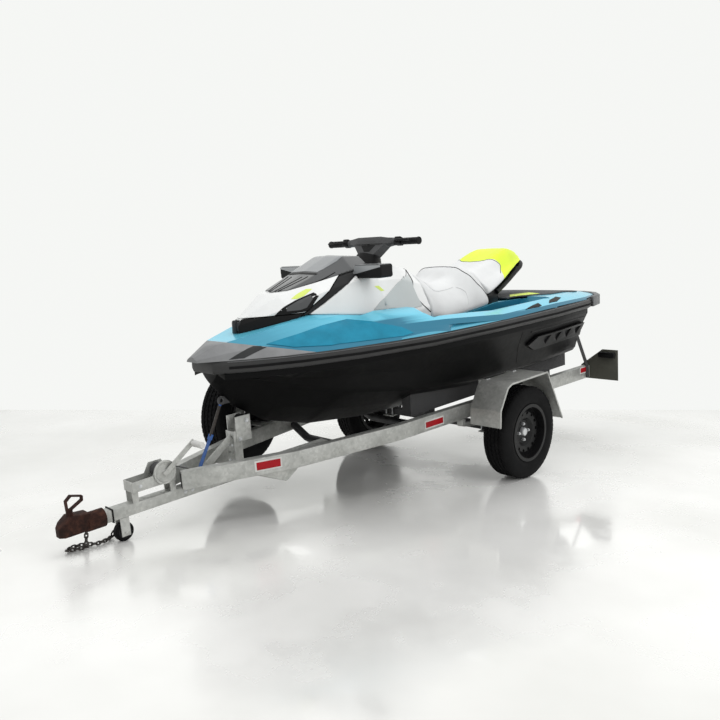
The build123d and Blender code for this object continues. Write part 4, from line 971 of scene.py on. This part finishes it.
panel("stern_slots", "deck", [
    [(1.261, 0.606, 0.582), (1.120, 0.575, 0.598), (1.032, 0.560, 0.602), (1.052, 0.600, 0.588),
     (1.099, 0.608, 0.583)],
    [(0.950, 0.590, 0.590), (0.880, 0.552, 0.603), (0.720, 0.505, 0.605), (0.690, 0.530, 0.600),
     (0.840, 0.585, 0.589)],
], "black_hull", lift=0.0015, grid=0.03)
panel("stern_patch", "stern_mat", [[
    (0.930, 0.275, 0.630), (0.760, 0.160, 0.626), (0.540, 0.175, 0.616), (0.640, 0.330, 0.618),
]], "lime_vinyl", lift=0.0008, depth=0.002, grid=0.03)
# A darker teal sheet over the deck's steep front flank: painted shade.
panel("flank_shade_facet", "deck", [[
    (3.006, 0.222, 0.612), (2.830, 0.276, 0.645), (2.543, 0.330, 0.683), (2.415, 0.444, 0.648),
    (2.300, 0.505, 0.612), (2.250, 0.545, 0.580), (2.330, 0.540, 0.575), (2.484, 0.490, 0.576),
    (2.737, 0.407, 0.580), (2.905, 0.316, 0.592),
]], "flank_shade_teal", lift=0.003, depth=0.005, grid=0.03)
# A dark grey wedge on the bow cap's side facet, where it lies in shade: painted shade.
panel("bow_cap_shade_wedge", "bow_cap", [[
    (3.190, 0.150, 0.560), (3.065, 0.190, 0.612), (3.000, 0.236, 0.603), (3.130, 0.196, 0.560),
]], "dark_grey", lift=0.0012)
bm = bmesh.new()
for side in SIDES:
    skin_into(bm, [[bm.verts.new(placed(craft, (p.x, p.y + inset, z), side)) for inset, z in SILL_SECTION]
                   for p in flowing(SILL_LINE, 4)])
shaded(add_closed("sill_strips", bm, "teal", "rig"))
bead("rub_strip", "gunwale_band", [[(x, y + 0.012, 0.521) for x, y in BAND_EDGE]],
     0.007, "rubber", 0.001, steps=5)
# A grey bead along the top of the black band, standing for a highlight there: painted highlight.
bead("band_highlight_line", "gunwale_band", [[(x, y + 0.002, 0.549) for x, y in BAND_EDGE]],
     0.0022, "grey", 0.0005, steps=5)
bead("hull_joint", "hull", [[
    (1.290, 0.600, 0.452), (1.270, 0.585, 0.380), (1.240, 0.550, 0.300), (1.210, 0.500, 0.225),
]], 0.0025, "charcoal", -0.0005)
bead("sponson_slot", "hull", [[(0.430, 0.570, 0.425), (0.800, 0.600, 0.428), (1.180, 0.606, 0.425)]],
     0.007, "black", -0.002)


# Trailer fastenings and fittings

DRAWBAR_HALF, DRAWBAR_BOLT_Z = 0.030, 0.368
DRAWBAR_BOLTS_X = (1.120, 1.200, 1.640, 1.690, 1.960, 2.000, 2.440)
SPRING_Y, AXLE_TOP = 0.4222, wheel_radius + 0.0225
U_BOLT_X, U_BOLT_HALF, U_BOLT_LOW, U_BOLT_HIGH = 0.034, 0.030, -0.062, 0.046
spring_seat = trailer @ Matrix.Translation((0, 0, AXLE_TOP))
TIE_X, TIE_HALF, TIE_LOW, TIE_HIGH = 2.385, 0.033, 0.337, 0.398
# The port rail's middle line in plan, and the outline of the painted shade in its open front mouth by a
# direction and (across, z) corners
RAIL_LINE = [(2.030, 0.052), (1.480, 0.266), (0.820, 0.386), (-1.190, 0.474)]
RAIL_HALF = 0.025
MOUTH_ACROSS = (0.363, 0.932)
MOUTH = [(-0.019, 0.402), (0.019, 0.402), (0.019, 0.478), (-0.019, 0.478)]
WINCH_PLACE, CRANK_GRIP_PLACE = (2.110, 0, 0.505), (1.9544, 0, 0.614)
WINCH_GRIP = [
    (0.0, 0.078), (0.0150, 0.078), (0.0168, 0.084), (0.0155, 0.118), (0.0168, 0.152), (0.0130, 0.160),
    (0.0, 0.161),
]
# The winch's near flange: a pressed disc with a raised rim, a dished web and a hub
WINCH_FLANGE = [
    (0.0, 0.0580), (0.012, 0.0580), (0.014, 0.0550), (0.022, 0.0520), (0.040, 0.0500), (0.046, 0.0515),
    (0.050, 0.0555), (0.057, 0.0560), (0.059, 0.0540), (0.059, 0.0475), (0.0, 0.0475),
]
STRAP_WIDTH, STRAP_THICKNESS = 0.040, 0.003
# The reflectors' ends along the port rail, their heights, and how far a border stands out
REFLECTORS = [(1.690, 1.572, 0.424, 0.464), (0.612, 0.462, 0.418, 0.452), (-1.062, -1.166, 0.446, 0.480)]
BORDER = 0.008
JOCKEY_PLACE = (2.330, 0, 0.269)
JOCKEY_HUB = [(0.0075, 0.0185), (0.014, 0.0195), (0.030, 0.0190), (0.032, 0.0175)]


def rail_outer(x):
    """The port rail's outer face in plan."""
    for (x0, y0), (x1, y1) in zip(RAIL_LINE, RAIL_LINE[1:]):
        if x >= x1:
            break
    run = sqrt((x1 - x0) ** 2 + (y1 - y0) ** 2)
    return y0 + (x - x0) * (y1 - y0) / (x1 - x0) + RAIL_HALF * run / abs(x1 - x0)


def reflector_border(x0, x1, z0, z1):
    """Outline of the pale border round a reflector."""
    front, rear, low, high = x0 + BORDER, x1 - BORDER, z0 - BORDER, z1 + BORDER
    return [(x, rail_outer(x), z) for x, z in ((front, low), (front, high), (rear, high), (rear, low))]


bolts("drawbar_bolts", [(x, DRAWBAR_HALF, DRAWBAR_BOLT_Z) for x in DRAWBAR_BOLTS_X], Y_AXIS, 0.009)
bolts("post_bolts", [(1.690, 0.016, z) for z in (0.440, 0.524)], X_AXIS, 0.008)
bolts("bow_stop_bolts", [(1.605, 0.041, 0.645), (1.655, 0.041, 0.555)], Y_AXIS, 0.011)
bolts("winch_bolts", [(2.066, 0.044, 0.470), (2.240, 0.044, 0.470), (2.110, 0.060, 0.505)], Y_AXIS, 0.008)
bolts("fender_bolts", [(x, 0.565, 0.6415) for x in (0.170, 0.190, -0.110, -0.090)], Z_AXIS, 0.007)
bolts("plate_bolts", [(-1.190, 0.452, z) for z in (0.425, 0.460)], X_AXIS, 0.007)
rods("spring_u_bolts", [
    [(x, SPRING_Y - U_BOLT_HALF, U_BOLT_LOW), (x, SPRING_Y - U_BOLT_HALF, U_BOLT_HIGH),
     (x, SPRING_Y + U_BOLT_HALF, U_BOLT_HIGH), (x, SPRING_Y + U_BOLT_HALF, U_BOLT_LOW)]
    for x in (-U_BOLT_X, U_BOLT_X)
], 0.005, "bright", "rig", spring_seat, mirrored=True)
boxes("spring_plates", [((-0.055, SPRING_Y - 0.042, -0.056), (0.055, SPRING_Y + 0.042, -0.048))],
      "zinc", "rig", spring_seat, 0.002, mirrored=True)
rods("drawbar_tie", [[
    (TIE_X, -TIE_HALF, TIE_LOW), (TIE_X, -TIE_HALF, TIE_HIGH), (TIE_X, TIE_HALF, TIE_HIGH),
    (TIE_X, TIE_HALF, TIE_LOW), (TIE_X, -TIE_HALF, TIE_LOW),
]], 0.004, "black", "rig", trailer)
boxes("lamp_backs", [((-1.189, 0.580, 0.552), (-1.160, 0.705, 0.594))],
      "black", "rig", trailer, 0.006, mirrored=True)
panel("lamp_amber", "tail_lamps", [[
    (-1.234, 0.556, 0.430), (-1.234, 0.600, 0.430), (-1.234, 0.600, 0.510), (-1.234, 0.556, 0.510),
]], "amber", "rig", trailer, grid=0.03)
# A black sheet on each rail's front end stands for the shade inside its open mouth: painted shade.
panel("rail_mouth_shade", "rails", [[
    (RAIL_LINE[0][0] + MOUTH_ACROSS[0] * a, RAIL_LINE[0][1] + MOUTH_ACROSS[1] * a, z)
    for a, z in MOUTH
]], "black", "rig", trailer, lift=0.0008, depth=0.002, grid=0.03)
turned("winch_grip", [(trailer @ Matrix.Translation(CRANK_GRIP_PLACE), WINCH_GRIP)], 24, "pale", "rig")
turned("winch_flange", [(trailer @ Matrix.Translation(WINCH_PLACE), WINCH_FLANGE)], 48, "zinc", "rig")
for side, name in zip(SIDES, ("port", "starboard")):
    strip(f"stern_strap_{name}", [
        placed(craft, (0.405, 0.470, 0.330), side),
        placed(trailer, (-1.150, 0.500, 0.480), side),
        placed(trailer, (-1.150, 0.502, 0.400), side),
    ], STRAP_WIDTH, STRAP_THICKNESS, "webbing", "rig")
rods("bow_hook", [[(1.806, 0, 0.600), (1.733, 0, 0.744)]], 0.0082, "chain", "rig", trailer)
panel("reflector_borders", "rails", [reflector_border(*row) for row in REFLECTORS],
      "pale", "rig", trailer, depth=0.002, grid=0.04)
jockey = trailer @ Matrix.Translation(JOCKEY_PLACE)
turned("jockey_hub", [(jockey, [(r, side * y) for r, y in JOCKEY_HUB]) for side in SIDES],
       32, "wheel_black", "jockey")


# Stage: a pale glossy floor that ends in a white backdrop, and soft light

CAMERA_PLACE = (3.284, 3.177, 1.208)
CAMERA_HEADING, CAMERA_PITCH, CAMERA_LENS = 225.309, 5.99, 36.84
FLOOR_REACH, FLOOR_SIZE = 6.95, 24
AMBIENT_STRENGTH = 0.72
BACKDROP_COLOR, BACKDROP_STRENGTH = (0.955, 0.965, 0.945, 1), 0.96
# name, place, aim, size, watts
SOFTBOXES = [
    ("overhead", (0, 0.3, 5.5), (0, 0, 0), 5, 185),
    ("key", (-0.5, 6.0, 3.4), (0, 0, 0.6), 3, 100),
]

floor_material, floor_tree, floor_shader = new_material("floor_gloss", (0.90, 0.90, 0.88), 0.2, 0.3)
blotches = noise(floor_tree, 1.1, 6, 0.6)
floor_tree.links.new(ramp(floor_tree, blotches, [(0.40, (0.08, 0.08, 0.08)), (0.60, (0.34, 0.34, 0.34))]),
                     floor_shader.inputs["Roughness"])
tint(floor_tree, floor_shader, noise(floor_tree, 0.7, 4),
     [(0.35, (0.78, 0.78, 0.755)), (0.65, (0.92, 0.92, 0.90))])
bpy.ops.mesh.primitive_plane_add(size=FLOOR_SIZE)
floor = bpy.context.object
floor.name = "floor"
heading = radians(CAMERA_HEADING)
floor.rotation_euler.z = heading
floor_middle = FLOOR_REACH - FLOOR_SIZE / 2
floor.location.x = CAMERA_PLACE[0] + cos(heading) * floor_middle
floor.location.y = CAMERA_PLACE[1] + sin(heading) * floor_middle
floor.data.materials.append(floor_material)

world = bpy.data.worlds.new("studio")
bpy.context.scene.world = world
world.use_nodes = True
world_tree = world.node_tree
ambient = world_tree.nodes["Background"]
ambient.inputs["Color"].default_value = (1, 1, 1, 1)
ambient.inputs["Strength"].default_value = AMBIENT_STRENGTH
seen = world_tree.nodes.new("ShaderNodeBackground")
seen.inputs["Color"].default_value = BACKDROP_COLOR
seen.inputs["Strength"].default_value = BACKDROP_STRENGTH
rays = world_tree.nodes.new("ShaderNodeLightPath")
world_mix = world_tree.nodes.new("ShaderNodeMixShader")
shows_backdrop = rays.outputs["Is Camera Ray"]
for kind in ("Is Glossy Ray", "Is Transmission Ray"):
    either = world_tree.nodes.new("ShaderNodeMath")
    either.operation = "MAXIMUM"
    world_tree.links.new(shows_backdrop, either.inputs[0])
    world_tree.links.new(rays.outputs[kind], either.inputs[1])
    shows_backdrop = either.outputs[0]
world_tree.links.new(shows_backdrop, world_mix.inputs["Fac"])
world_tree.links.new(ambient.outputs[0], world_mix.inputs[1])
world_tree.links.new(seen.outputs[0], world_mix.inputs[2])
world_tree.links.new(world_mix.outputs[0], world_tree.nodes["World Output"].inputs["Surface"])


def softbox(name, place, aim, size, watts):
    """A square lamp that glossy surfaces don't mirror."""
    data = bpy.data.lights.new(name, "AREA")
    data.size = size
    data.energy = watts
    lamp = bpy.data.objects.new(name, data)
    lamp.location = place
    lamp.rotation_euler = (Vector(aim) - Vector(place)).to_track_quat("-Z", "Y").to_euler()
    lamp.visible_glossy = False
    bpy.context.scene.collection.objects.link(lamp)


for row in SOFTBOXES:
    softbox(*row)

# Camera at the photograph's place
camera_data = bpy.data.cameras.new("camera")
camera_data.sensor_width = 36
camera_data.lens = CAMERA_LENS
camera = bpy.data.objects.new("camera", camera_data)
camera.location = CAMERA_PLACE
camera.rotation_euler = (radians(90 - CAMERA_PITCH), 0, radians(CAMERA_HEADING - 90))
bpy.context.scene.collection.objects.link(camera)
bpy.context.scene.camera = camera
bpy.context.scene.view_settings.view_transform = "Standard"
